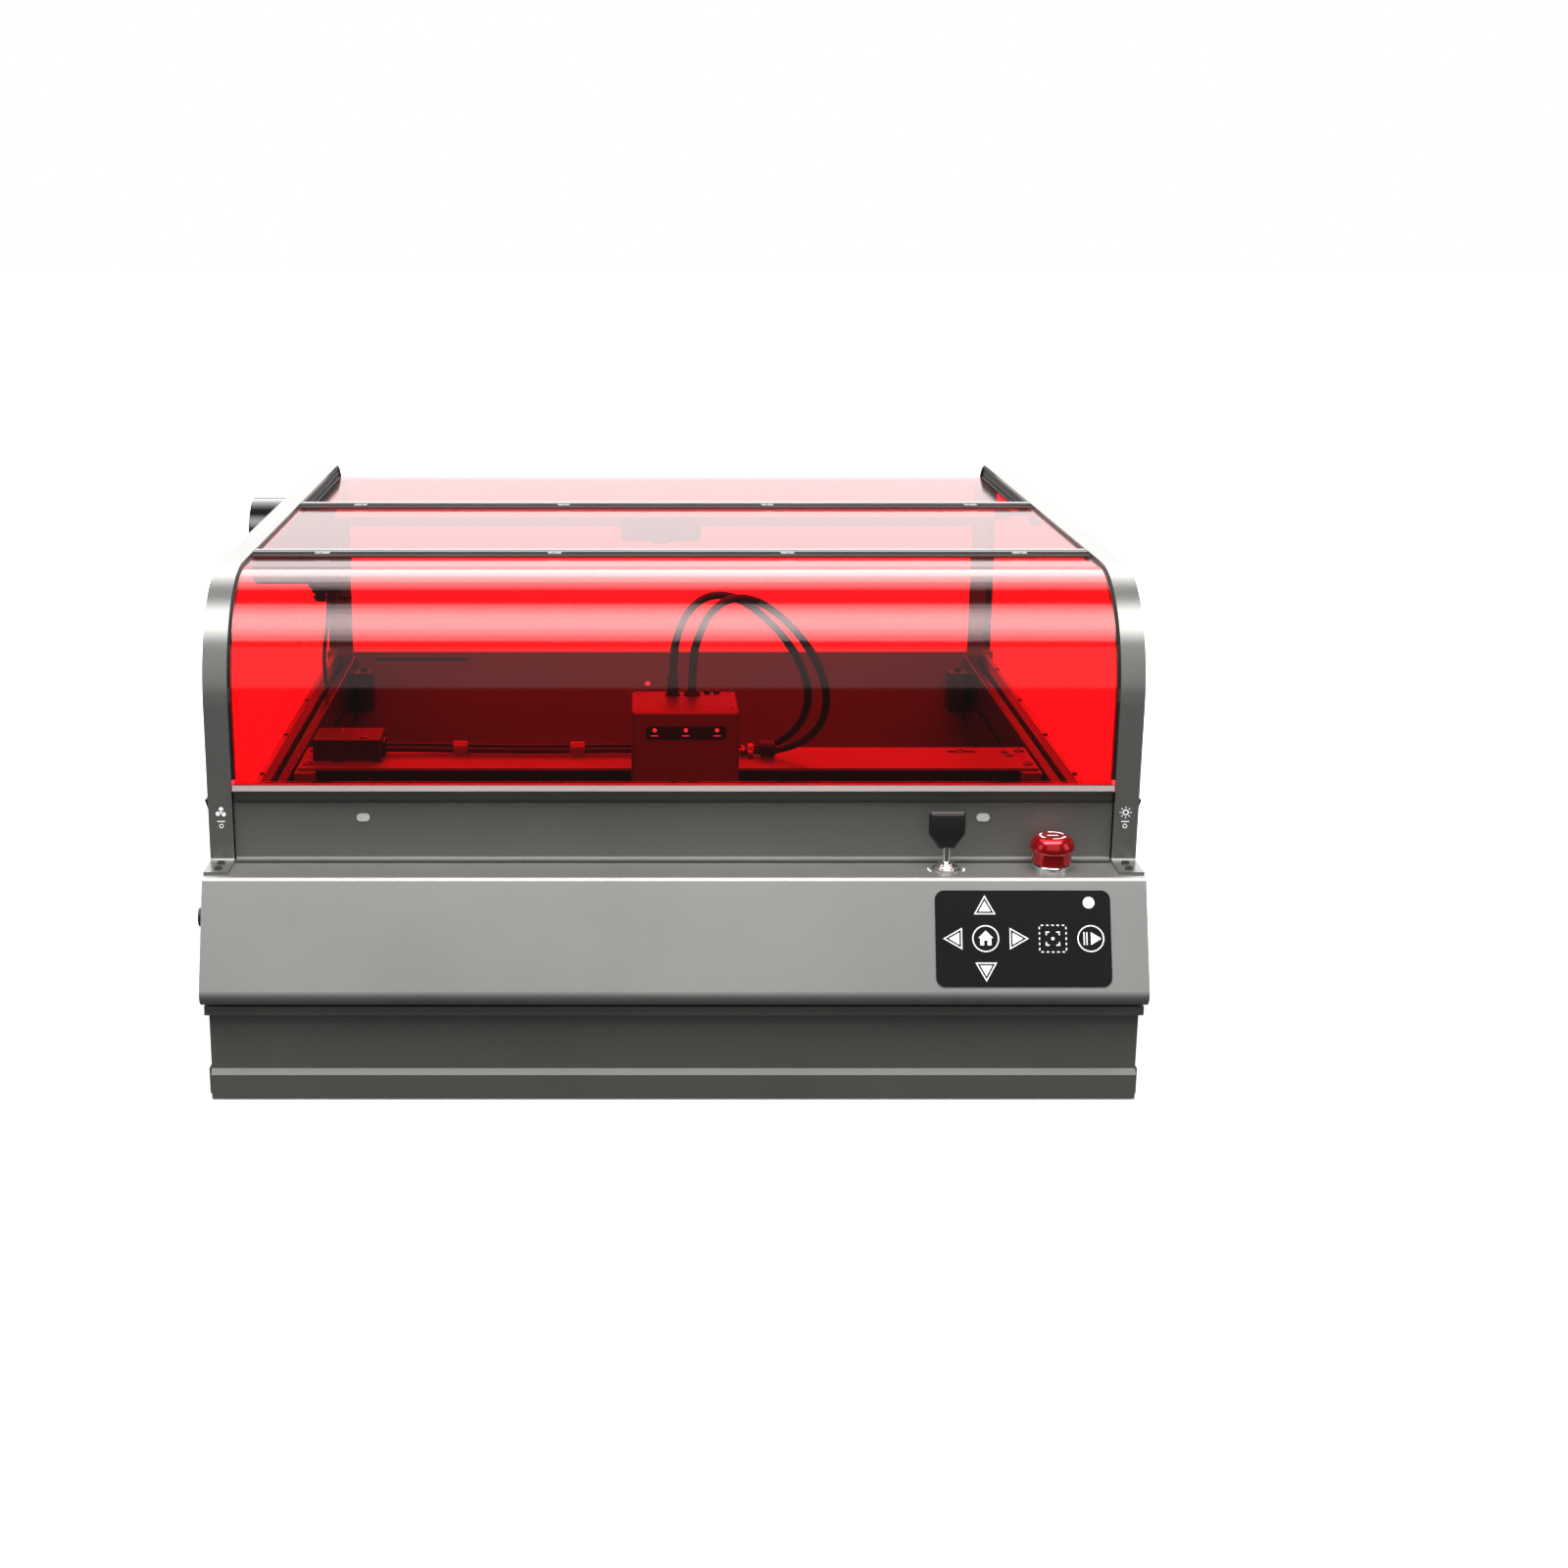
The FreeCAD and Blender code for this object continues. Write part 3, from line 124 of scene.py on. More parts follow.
def make_light():
    """White backdrop for the camera, dim surroundings for reflections, and the studio lights."""
    world = bpy.data.worlds.new("studio")
    bpy.context.scene.world = world
    world.use_nodes = True
    nt = world.node_tree
    background = nt.nodes["Background"]
    background.inputs["Color"].default_value = (1, 1, 1, 1)
    background.inputs["Strength"].default_value = 0.09
    seen = nt.nodes.new("ShaderNodeBackground")
    seen.inputs["Color"].default_value = (1, 1, 1, 1)
    seen.inputs["Strength"].default_value = 1.0
    path = nt.nodes.new("ShaderNodeLightPath")
    mix = nt.nodes.new("ShaderNodeMixShader")
    nt.links.new(path.outputs["Is Camera Ray"], mix.inputs["Fac"])
    nt.links.new(background.outputs[0], mix.inputs[1])
    nt.links.new(seen.outputs[0], mix.inputs[2])
    nt.links.new(mix.outputs[0], nt.nodes["World Output"].inputs["Surface"])
    overhead_strips("front_softbox", FRONT_STRIPS, 3.2)
    overhead_strips("back_softbox", BACK_STRIPS, 3.4)
    softbox("back_panel", (0, 4.3, 1.15), (0, 0, 1.15), 6.0, 2.3, 1.66)
    softbox("front_panel", (0, -3.4, 1.7), (0, 0, 0.5), 4.2, 2.6, 0.55)
    softbox("left_fill", (-2.8, -1.2, 1.0), (0, 0, 0.2), 1.2, 1.8, 1.0)
    softbox("right_fill", (2.8, -1.2, 1.0), (0, 0, 0.2), 1.2, 1.8, 1.0)


def make_floor():
    """Wide floor that catches the shadow and stays out of the reflections."""
    bm = bmesh.new()
    bmesh.ops.create_grid(bm, x_segments=8, y_segments=8, size=12)
    mesh = bpy.data.meshes.new("floor")
    bm.to_mesh(mesh)
    bm.free()
    floor = bpy.data.objects.new("floor", mesh)
    bpy.context.scene.collection.objects.link(floor)
    floor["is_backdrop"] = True
    floor.data.materials.append(floor_material())
    floor.visible_diffuse = False
    floor.visible_glossy = False


# Materials -----------------------------------------------------------------------------------


class Shader:
    """A node material being put together."""

    def __init__(self, name):
        self.material = bpy.data.materials.new(name)
        self.material.use_nodes = True
        self.tree = self.material.node_tree
        self.surface = self.tree.nodes["Principled BSDF"]
        self.output = self.tree.nodes["Material Output"]

    def add(self, kind, **inputs):
        item = self.tree.nodes.new("ShaderNode" + kind)
        for key, value in inputs.items():
            item.inputs[key.replace("_", " ")].default_value = value
        return item

    def link(self, source, target):
        self.tree.links.new(source, target)

    def place(self, scale):
        """Object-space position, the same on every piece."""
        coordinates = self.add("TexCoord")
        mapping = self.add("Mapping")
        mapping.inputs["Scale"].default_value = scale
        self.link(coordinates.outputs["Object"], mapping.inputs["Vector"])
        return mapping.outputs["Vector"]

    def noise(self, scale, detail=3.0, stretch=(1, 1, 1)):
        texture = self.add("TexNoise", Scale=scale, Detail=detail)
        self.link(self.place(stretch), texture.inputs["Vector"])
        return texture.outputs["Fac"]

    def ramp(self, source, low, high):
        """Colour between low and high over the middle of a noise's range."""
        ramp = self.add("ValToRGB")
        ramp.color_ramp.elements[0].position = 0.35
        ramp.color_ramp.elements[1].position = 0.65
        ramp.color_ramp.elements[0].color = (*low, 1)
        ramp.color_ramp.elements[1].color = (*high, 1)
        self.link(source, ramp.inputs["Fac"])
        return ramp.outputs["Color"]

    def spread(self, source, low, high):
        spread = self.add("MapRange")
        spread.inputs["To Min"].default_value = low
        spread.inputs["To Max"].default_value = high
        self.link(source, spread.inputs["Value"])
        return spread.outputs["Result"]

    def bump(self, source, strength, distance):
        bump = self.add("Bump", Strength=strength, Distance=distance)
        self.link(source, bump.inputs["Height"])
        self.link(bump.outputs["Normal"], self.surface.inputs["Normal"])


def shaded(colour, factor):
    """Darker or lighter colour."""
    return tuple(min(1.0, c * factor) for c in colour)


def finish_material(name, colour, metallic=0.0, rough=0.5, vary=0.06, grain=900, depth=0.00002,
                    stretch=(1, 1, 1), rough_vary=0.06, coat=0.0, specular=0.5):
    """A solid finish with slight mottling in colour and roughness, and a fine surface grain."""
    shader = Shader(name)
    surface = shader.surface
    mottling = shader.noise(9.0, 4.0)
    colour_out = shader.ramp(mottling, shaded(colour, 1 - vary), shaded(colour, 1 + vary))
    shader.link(colour_out, surface.inputs["Base Color"])
    surface.inputs["Metallic"].default_value = metallic
    surface.inputs["Specular IOR Level"].default_value = specular
    surface.inputs["Coat Weight"].default_value = coat
    surface.inputs["Coat Roughness"].default_value = 0.08
    fine = shader.noise(grain, 2.0, stretch)
    shader.link(shader.spread(fine, rough - rough_vary, rough + rough_vary), surface.inputs["Roughness"])
    shader.bump(fine, 0.35, depth)
    return shader.material


def acrylic_material():
    """Red clear sheet: tinted where it is seen through, mirror-like by Fresnel on its outer faces."""
    shader = Shader("red_acrylic")
    shader.tree.nodes.remove(shader.surface)
    clear = shader.add("BsdfTransparent")
    body = shader.ramp(shader.noise(2.5, 2.0), (0.985, 0.21, 0.25), (0.995, 0.225, 0.265))
    shader.link(body, clear.inputs["Color"])
    gloss = shader.add("BsdfGlossy", Roughness=0.105)
    gloss.inputs["Color"].default_value = (1, 0.84, 0.84, 1)
    fresnel = shader.add("Fresnel", IOR=1.62)
    geometry = shader.add("NewGeometry")
    front = shader.add("Math")
    front.operation = "SUBTRACT"
    front.inputs[0].default_value = 1.0
    shader.link(geometry.outputs["Backfacing"], front.inputs[1])
    share = shader.add("Math")
    share.operation = "MULTIPLY"
    shader.link(fresnel.outputs[0], share.inputs[0])
    shader.link(front.outputs[0], share.inputs[1])
    mix = shader.add("MixShader")
    shader.link(share.outputs[0], mix.inputs["Fac"])
    shader.link(clear.outputs[0], mix.inputs[1])
    shader.link(gloss.outputs[0], mix.inputs[2])
    shader.link(mix.outputs[0], shader.output.inputs["Surface"])
    return shader.material


def glowing_material(name, colour, strength):
    """Bright print or lamp that glows; on printed marks the glow is painted light that keeps their white in
    the shade.
    """
    shader = Shader(name)
    surface = shader.surface
    tone = shader.ramp(shader.noise(400, 2.0), shaded(colour, 0.92), colour)
    shader.link(tone, surface.inputs["Base Color"])
    shader.link(tone, surface.inputs["Emission Color"])
    surface.inputs["Emission Strength"].default_value = strength
    surface.inputs["Roughness"].default_value = 0.35
    return shader.material


def floor_material():
    """Pale floor that glows white away from the object, so that it has no horizon."""
    shader = Shader("floor")
    surface = shader.surface
    tone = shader.ramp(shader.noise(40, 2.0), (0.925, 0.925, 0.925), (0.935, 0.935, 0.935))
    shader.link(tone, surface.inputs["Base Color"])
    surface.inputs["Roughness"].default_value = 0.8
    far = shader.add("VectorMath")
    far.operation = "LENGTH"
    shader.link(shader.place((1, 1, 1)), far.inputs[0])
    glow = shader.add("MapRange")
    glow.inputs["From Min"].default_value = 0.5
    glow.inputs["From Max"].default_value = 2.2
    glow.inputs["To Min"].default_value = 0.15
    glow.inputs["To Max"].default_value = 1.0
    shader.link(far.outputs["Value"], glow.inputs["Value"])
    shader.link(glow.outputs["Result"], surface.inputs["Emission Strength"])
    surface.inputs["Emission Color"].default_value = (1, 1, 1, 1)
    return shader.material


PAINT = (0.41, 0.406, 0.394)
DARK_PAINT = (0.156, 0.154, 0.143)
FRAME_PAINT = (0.246, 0.244, 0.232)

MATERIALS = {
    "cabinet_paint": dict(
        colour=PAINT, metallic=0.8, rough=0.45, vary=0.04, grain=1400, depth=0.000025),
    "frame_paint": dict(
        colour=FRAME_PAINT, metallic=0.55, rough=0.25, vary=0.04, grain=1400, depth=0.00002),
    "dark_paint": dict(
        colour=DARK_PAINT, metallic=0.25, rough=0.45, vary=0.05, grain=1400, depth=0.000025),
    # Handle paint: grey whose reddish tint is a painted reflection of the red shield above the handle.
    "handle_paint_red_reflection": dict(
        colour=(0.165, 0.13, 0.126), metallic=0.3, rough=0.42, vary=0.05, grain=1400, depth=0.00002),
    "shadow_gap": dict(
        colour=(0.045, 0.044, 0.042), rough=0.6, vary=0.1, grain=1200, depth=0.00001),
    "black_extrusion": dict(
        colour=(0.04, 0.038, 0.038), metallic=0.8, rough=0.26, vary=0.12, grain=500, depth=0.00001,
        stretch=(1, 0.02, 1)),
    "gantry_metal": dict(
        colour=(0.235, 0.225, 0.225), metallic=0.45, rough=0.42, vary=0.1, grain=1200, depth=0.00002),
    "black_plastic": dict(
        colour=(0.014, 0.014, 0.015), rough=0.42, vary=0.15, grain=1800, depth=0.00003),
    "black_rubber": dict(
        colour=(0.016, 0.016, 0.016), rough=0.62, vary=0.2, grain=1500, depth=0.00004, specular=0.35),
    "cord_jacket": dict(
        colour=(0.014, 0.014, 0.014), rough=0.45, vary=0.15, grain=1200, depth=0.00003),
    "head_paint": dict(
        colour=(0.17, 0.163, 0.16), metallic=0.4, rough=0.4, vary=0.06, grain=1400, depth=0.00002),
    "knob_metal": dict(
        colour=(0.42, 0.42, 0.42), metallic=1.0, rough=0.3, vary=0.05, grain=900, depth=0.00001),
    "screw_steel": dict(
        colour=(0.16, 0.16, 0.16), metallic=0.9, rough=0.32, vary=0.1, grain=900, depth=0.00001),
    "honeycomb_metal": dict(
        colour=(0.3, 0.3, 0.31), metallic=0.9, rough=0.35, vary=0.1, grain=300, depth=0.00002),
    "lens_glass": dict(
        colour=(0.01, 0.01, 0.014), rough=0.05, vary=0.1, grain=200, depth=0.000001,
        rough_vary=0.01, coat=1.0),
    "milky_plastic": dict(
        colour=(0.72, 0.72, 0.70), rough=0.3, vary=0.02, grain=500, depth=0.00001),
    "keypad_film": dict(
        colour=(0.0085, 0.0085, 0.009), rough=0.5, vary=0.08, grain=2500, depth=0.00002, specular=0.16),
    "chrome": dict(
        colour=(0.78, 0.78, 0.78), metallic=1.0, rough=0.08, vary=0.02, grain=300, depth=0.000002,
        rough_vary=0.02),
    "stop_red": dict(
        colour=(0.6, 0.006, 0.012), metallic=0.7, rough=0.2, vary=0.05, grain=700, depth=0.000004,
        rough_vary=0.03, coat=0.6),
    "glossy_black": dict(
        colour=(0.01, 0.01, 0.011), rough=0.12, vary=0.1, grain=700, depth=0.000004, rough_vary=0.03),
    # Near-black with almost no gloss: painted shade, put on strips where there is only a shaded gap.
    "painted_shade_black": dict(
        colour=(0.006, 0.005, 0.005), rough=0.7, vary=0.1, specular=0.02),
    # Dark red strip in front of each crossbar: painted shade over the red sheet's edge.
    "dark_red_painted_shade": dict(
        colour=(0.10, 0.022, 0.02), rough=0.6, vary=0.1, specular=0.1),
    "acrylic_edge": dict(
        colour=(0.5, 0.006, 0.006), rough=0.2, vary=0.05, grain=200, depth=0.000005),
}


def make_materials():
    ready = {name: finish_material(name, **recipe) for name, recipe in MATERIALS.items()}
    ready["red_acrylic"] = acrylic_material()
    # The white print's glow is painted light that keeps printed marks white in the shade.
    ready["white_print"] = glowing_material("white_print", (0.95, 0.95, 0.95), 0.45)
    ready["status_light"] = glowing_material("status_light", (0.95, 0.97, 1.0), 1.2)
    return ready


make_camera()
make_light()
make_floor()
READY = make_materials()

# Nodes whose finish differs from that of their slot's other nodes.
OWN_FINISH = {"exhaust_spigot": "glossy_black", "lid_bar_front": "dark_paint", "lid_bar_rear": "dark_paint"}


def dress_nodes():
    """Give every CAD node the finish of its material slot."""
    for row in frame["record"]["subparts"]:
        node = NODES[row["node"]]
        node.data.materials.clear()
        node.data.materials.append(READY[OWN_FINISH.get(row["node"], row["material_slot"])])


dress_nodes()

# Modelling helpers ---------------------------------------------------------------------------

X_AXIS = Vector((1, 0, 0))
Y_AXIS = Vector((0, 1, 0))
Z_AXIS = Vector((0, 0, 1))


def finish_piece(name, bm, material, body, smooth_angle=35):
    """Turn a bmesh in millimetres into a piece that rides on a body."""
    bmesh.ops.recalc_face_normals(bm, faces=bm.faces)
    bmesh.ops.scale(bm, vec=(MM, MM, MM), verts=bm.verts)
    mesh = bpy.data.meshes.new(name)
    bm.to_mesh(mesh)
    bm.free()
    mesh.shade_smooth()
    mesh.set_sharp_from_angle(angle=math.radians(smooth_angle))
    piece = bpy.data.objects.new(name, mesh)
    bpy.context.scene.collection.objects.link(piece)
    piece.data.materials.append(READY[material])
    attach(piece, body)
    return piece


def bridge(bm, lower, upper):
    """Faces between two rings; either ring may be a single point."""
    count = max(len(lower), len(upper))
    for i in range(count):
        j = (i + 1) % count
        corners = [lower[i % len(lower)], lower[j % len(lower)], upper[j % len(upper)], upper[i % len(upper)]]
        unique = list(dict.fromkeys(corners))
        if len(unique) > 2:
            bm.faces.new(unique)


def lathe(bm, profile, spot, axis=Z_AXIS, steps=28):
    """Round solid: profile is (radius, height[, "hex"]) from the axis out and back to it."""
    turn = Z_AXIS.rotation_difference(Vector(axis))
    rings = []
    for radius, height, *shape in profile:
        ring = []
        for i in range(steps if radius else 1):
            angle = 2 * math.pi * i / steps
            reach = radius
            if shape:
                reach = radius / math.cos((angle + math.pi / 6) % (math.pi / 3) - math.pi / 6)
            point = Vector((reach * math.cos(angle), reach * math.sin(angle), height))
            ring.append(bm.verts.new(turn @ point + Vector(spot)))
        rings.append(ring)
    for lower, upper in zip(rings, rings[1:]):
        bridge(bm, lower, upper)


def flat_ring(bm, points, origin, u, v, lift):
    """One closed loop of vertices in the plane of u and v, lifted along their normal."""
    normal = Vector(u).cross(Vector(v))
    base = Vector(origin)
    return [bm.verts.new(base + a * Vector(u) + b * Vector(v) + lift * normal) for a, b in points]


def slab(bm, points, origin, u, v, thick, hole=None):
    """Flat piece with an outline in the plane of u and v, and an optional hole with as many points."""
    lower = flat_ring(bm, points, origin, u, v, 0)
    upper = flat_ring(bm, points, origin, u, v, thick)
    bridge(bm, lower, upper)
    if hole is None:
        bm.faces.new(lower)
        bm.faces.new(upper)
        return
    hole_lower = flat_ring(bm, hole, origin, u, v, 0)
    hole_upper = flat_ring(bm, hole, origin, u, v, thick)
    bridge(bm, hole_lower, hole_upper)
    bridge(bm, lower, hole_lower)
    bridge(bm, upper, hole_upper)


def domed_slab(bm, points, origin, u, v, thick, edge):
    """Flat piece whose upper rim is chamfered by edge."""
    middle = Vector((sum(p[0] for p in points), sum(p[1] for p in points))) / len(points)
    inner = []
    for a, b in points:
        away = Vector((a, b)) - middle
        inner.append(tuple(Vector((a, b)) - away.normalized() * edge))
    rings = [
        flat_ring(bm, points, origin, u, v, 0),
        flat_ring(bm, points, origin, u, v, thick - edge),
        flat_ring(bm, inner, origin, u, v, thick),
    ]
    bridge(bm, rings[0], rings[1])
    bridge(bm, rings[1], rings[2])
    bm.faces.new(rings[0])
    bm.faces.new(rings[2])


def arc_points(radius, start, end, steps, middle=(0, 0)):
    """Points on an arc, angles in degrees."""
    angles = [math.radians(start + (end - start) * i / steps) for i in range(steps + 1)]
    return [(middle[0] + radius * math.cos(a), middle[1] + radius * math.sin(a)) for a in angles]


def circle_points(radius, steps=36):
    """Points round a circle about the origin of its plane."""
    return arc_points(radius, 0, 360, steps)[:-1]


def rounded(x0, y0, x1, y1, radius, steps=5):
    """Rectangle with rounded corners."""
    points = []
    for cx, cy, start in ((x1 - radius, y1 - radius, 0), (x0 + radius, y1 - radius, 90),
                          (x0 + radius, y0 + radius, 180), (x1 - radius, y0 + radius, 270)):
        points += arc_points(radius, start, start + 90, steps, (cx, cy))
    return points


def turned_points(points, degrees):
    """Points turned about the origin of their plane."""
    angle = math.radians(degrees)
    return [(a * math.cos(angle) - b * math.sin(angle), a * math.sin(angle) + b * math.cos(angle))
            for a, b in points]


def box_slab(bm, low, high):
    """Straight block between two corners."""
    wide, deep, tall = (b - a for a, b in zip(low, high))
    slab(bm, [(0, 0), (wide, 0), (wide, deep), (0, deep)], low, X_AXIS, Y_AXIS, tall)


def button_screw(bm, spot, radius, axis=Z_AXIS, height=None):
    """Button-head screw with a hexagon socket."""
    tall = height or radius * 0.55
    socket = radius * 0.42
    socket_floor = tall * 0.35
    profile = [
        (0, socket_floor), (socket, socket_floor, "hex"), (socket, tall, "hex"), (radius * 0.62, tall),
        (radius * 0.88, tall * 0.72), (radius, tall * 0.25), (radius, 0), (0, 0)]
    lathe(bm, profile, spot, axis, 24)


def tube_curve(name, points, radius, order=3):
    """Open NURBS tube along control points in millimetres."""
    curve = bpy.data.curves.new(name, "CURVE")
    curve.dimensions = "3D"
    curve.bevel_depth = radius * MM
    curve.bevel_resolution = 5
    curve.resolution_u = 8
    curve.use_fill_caps = True
    spline = curve.splines.new("NURBS")
    spline.points.add(len(points) - 1)
    for item, point in zip(spline.points, points):
        item.co = (*[c * MM for c in point], 1)
    spline.order_u = order
    spline.use_endpoint_u = True
    piece = bpy.data.objects.new(name, curve)
    bpy.context.scene.collection.objects.link(piece)
    return piece


def centreline(curve_piece):
    """Points along a tube's NURBS spline."""
    bare = curve_piece.copy()
    bare.data = curve_piece.data.copy()
    bare.data.bevel_depth = 0
    bpy.context.scene.collection.objects.link(bare)
    bpy.context.view_layer.update()
    mesh = bpy.data.meshes.new_from_object(bare.evaluated_get(bpy.context.evaluated_depsgraph_get()))
    points = [v.co.copy() for v in mesh.vertices]
    bpy.data.objects.remove(bare)
    return points


def tube_mesh(curve_piece, name):
    """The same tube as a mesh, in place of the curve."""
    bpy.context.view_layer.update()
    mesh = bpy.data.meshes.new_from_object(curve_piece.evaluated_get(bpy.context.evaluated_depsgraph_get()))
    bpy.data.objects.remove(curve_piece)
    mesh.name = name
    mesh.shade_smooth()
    piece = bpy.data.objects.new(name, mesh)
    bpy.context.scene.collection.objects.link(piece)
    return piece


def line_length(points):
    """Length of a line through points."""
    return sum((b - a).length for a, b in zip(points, points[1:]))


# Cords ---------------------------------------------------------------------------------------

FAN_LEAD = [
    (-288, 206, 235.7), (-288.5, 204, 219), (-290, 197, 203), (-291.5, 191, 187), (-291.5, 189, 172),
    (-290.5, 189.5, 159.3)]

HOSE_RIGHT = [
    (17, -110, 219), (17, -110, 245), (21, -109, 262), (29, -107, 279), (44, -104, 290), (63, -101, 288),
    (82, -97, 275), (101, -91, 254), (115, -86, 228), (119, -80, 203), (112, -73, 182), (96, -66, 169),
    (78, -61, 164)]

HOSE_LEFT = [
    (3, -110, 219), (3, -110, 246), (6, -108, 264), (14, -104, 281), (29, -98, 291), (48, -93, 289),
    (67, -88, 276), (85, -82, 257), (99, -77, 235), (106, -71, 211), (103, -63, 190), (92, -56, 174),
    (78, -53, 165.5)]

BUNDLE = [
    (74, -56, 163.6), (54, -53, 163.6), (30, -52, 163.6), (0, -50.5, 163.6), (-34, -50.5, 163.6),
    (-68, -52, 163.6), (-104, -52.5, 163.6), (-136, -51, 163.6), (-168, -49, 163.6), (-195, -50, 164.4),
    (-216, -50, 164.4)]

# Strands of the bundle: name, offset back and up from its middle at each end, radius.
STRANDS = [
    ("bundle_sleeve", (-1.5, -0.8), (-1.5, -0.9), 2.6),
    ("bundle_wire_1", (2.6, -1.9), (2.9, -2.2), 1.2),
    ("bundle_wire_2", (2.3, 1.1), (2.9, 0.6), 1.3),
    ("bundle_wire_3", (-0.4, 2.7), (-0.6, 2.7), 1.1),
]


def make_cords():
    """Fan lead, the head's two hoses, and the strands of the bundle along the beam."""
    lead = tube_curve("fan_lead_cord", FAN_LEAD, 1.75)
    length = line_length(centreline(lead))
    lead.data.materials.append(READY["cord_jacket"])
    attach(lead, "root")
    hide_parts("fan_lead")

    for name, route in (("head_hose_right", HOSE_RIGHT), ("head_hose_left", HOSE_LEFT)):
        curve = tube_curve(name + "_curve", route, 3.0)
        path = centreline(curve)
        hose = tube_mesh(curve, name)
        hose.data.materials.clear()
        hose.data.materials.append(READY["cord_jacket"])
        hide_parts("head_hoses")
        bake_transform(hose)

    for name, first, last, radius in STRANDS:
        route = []
        for i, (x, y, z) in enumerate(BUNDLE):
            share = i / (len(BUNDLE) - 1)
            back = first[0] + (last[0] - first[0]) * share
            up = first[1] + (last[1] - first[1]) * share
            route.append((x, y + back, z + up))
        strand = tube_curve(name, route, radius)
        length = line_length(centreline(strand))
        strand.data.materials.append(READY["cord_jacket"])
        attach(strand, "gantry")
        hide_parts("cable_bundle")


# Control panel -------------------------------------------------------------------------------

SLOPE_TOP = Vector((0, -320.5, 146))
SLOPE_LOW = Vector((0, -354.2, 67))
SLOPE_UP = (SLOPE_TOP - SLOPE_LOW).normalized()
SLOPE_OUT = X_AXIS.cross(SLOPE_UP)
FILM_THICKNESS = 0.8
PRINT_THICKNESS = 0.15
# Keypad symbols: X of their middles, and how far the middle row lies down the slope.
HOME_X = 201.0
FRAME_X = 244.3
START_X = 268.8
MIDDLE_ROW = 39.5

SHELF_LEVEL = 146
STOP_SPOT = Vector((247.7, -301.5, SHELF_LEVEL))
KEY_X = 178.8
KEY_Y = -301.5


def triangle(size, depth, turn):
    """Triangle about its own middle that points up before it is turned, in degrees."""
    corners = [(-size / 2, -depth / 3), (size / 2, -depth / 3), (0, depth * 2 / 3)]
    return turned_points(corners, turn)


def keypad_marks():
    """Printed arrows, home, frame and start symbols on the keypad film."""
    bm = bmesh.new()

    def mark(x, down, points, hole=None):
        origin = X_AXIS * x + SLOPE_TOP - SLOPE_UP * down + SLOPE_OUT * (FILM_THICKNESS - 0.02)
        slab(bm, points, origin, X_AXIS, SLOPE_UP, PRINT_THICKNESS, hole)

    arrows = ((200.7, 19.7, 0), (181.7, MIDDLE_ROW, 90), (220.6, MIDDLE_ROW, -90), (HOME_X, 59.1, 180))
    for x, down, turn in arrows:
        mark(x, down, triangle(14.1, 12.4, turn), triangle(11.5, 10.1, turn))
        mark(x, down, triangle(7.9, 6.9, turn))
    for x in (HOME_X, START_X):
        mark(x, MIDDLE_ROW, circle_points(8.7), circle_points(7.9))
    house = [
        (-3.6, -4.3), (-1.1, -4.3), (-1.1, -1.2), (1.1, -1.2), (1.1, -4.3), (3.6, -4.3), (3.6, 0.4),
        (4.9, 0.4), (0, 5.2), (-4.9, 0.4), (-3.6, 0.4)]
    mark(HOME_X, MIDDLE_ROW, house)
    for shift in (-4.3, -2.5):
        mark(START_X + shift, MIDDLE_ROW, rounded(-0.4, -4.2, 0.4, 4.2, 0.2, 1))
    mark(START_X + 2.3, MIDDLE_ROW, triangle(8.4, 6.8, -90))
    for i in range(5):
        shift = -6.8 + 3.4 * i
        for a, b, wide, tall in ((shift, 8.6, 1.7, 0.8), (shift, -8.6, 1.7, 0.8),
                                 (8.6, shift, 0.8, 1.7), (-8.6, shift, 0.8, 1.7)):
            dash = rounded(a - wide / 2, b - tall / 2, a + wide / 2, b + tall / 2, 0.2, 1)
            mark(FRAME_X, MIDDLE_ROW, dash)
    for turn in (0, 90, 180, 270):
        corner = [(2.2, 4.6), (4.6, 4.6), (4.6, 2.2), (3.8, 2.2), (3.8, 3.8), (2.2, 3.8)]
        mark(FRAME_X, MIDDLE_ROW, turned_points(corner, turn))
    mark(FRAME_X, MIDDLE_ROW, circle_points(1.1, 16))
    finish_piece("keypad_marks", bm, "white_print", "root")

    bm = bmesh.new()
    origin = X_AXIS * 268.0 + SLOPE_TOP - SLOPE_UP * 16.3 + SLOPE_OUT * (FILM_THICKNESS - 0.02)
    domed_slab(bm, circle_points(3.7), origin, X_AXIS, SLOPE_UP, 0.35, 0.25)
    finish_piece("status_lamp", bm, "status_light", "root")


def stop_and_key_marks():
    """Turn arrows on the emergency stop, and position marks beside the key."""
    bm = bmesh.new()
    top = STOP_SPOT + Z_AXIS * 22.98
    thick = 0.12
    for start in (20, 140, 260):
        outer = arc_points(8.6, start, start + 70, 10)
        inner = arc_points(7.6, start, start + 70, 10)
        slab(bm, outer + inner[::-1], top, X_AXIS, Y_AXIS, thick)
        arrow_head = turned_points([(6.6, 0), (9.4, 0)], start + 70) + turned_points([(8.1, 0)], start + 84)
        slab(bm, arrow_head, top, X_AXIS, Y_AXIS, thick)
    slab(bm, rounded(-3.6, -0.6, 3.6, 0.6, 0.5, 3), top, X_AXIS, Y_AXIS, thick)
    finish_piece("stop_arrows", bm, "white_print", "stop_button")

    bm = bmesh.new()
    shelf = Vector((KEY_X, KEY_Y, SHELF_LEVEL - 0.02))
    for start in (-28, 172):
        outer = arc_points(12.2, start, start + 36, 8)
        inner = arc_points(11.2, start, start + 36, 8)
        slab(bm, outer + inner[::-1], shelf, X_AXIS, Y_AXIS, 0.14)
    finish_piece("key_position_marks", bm, "white_print", "root")


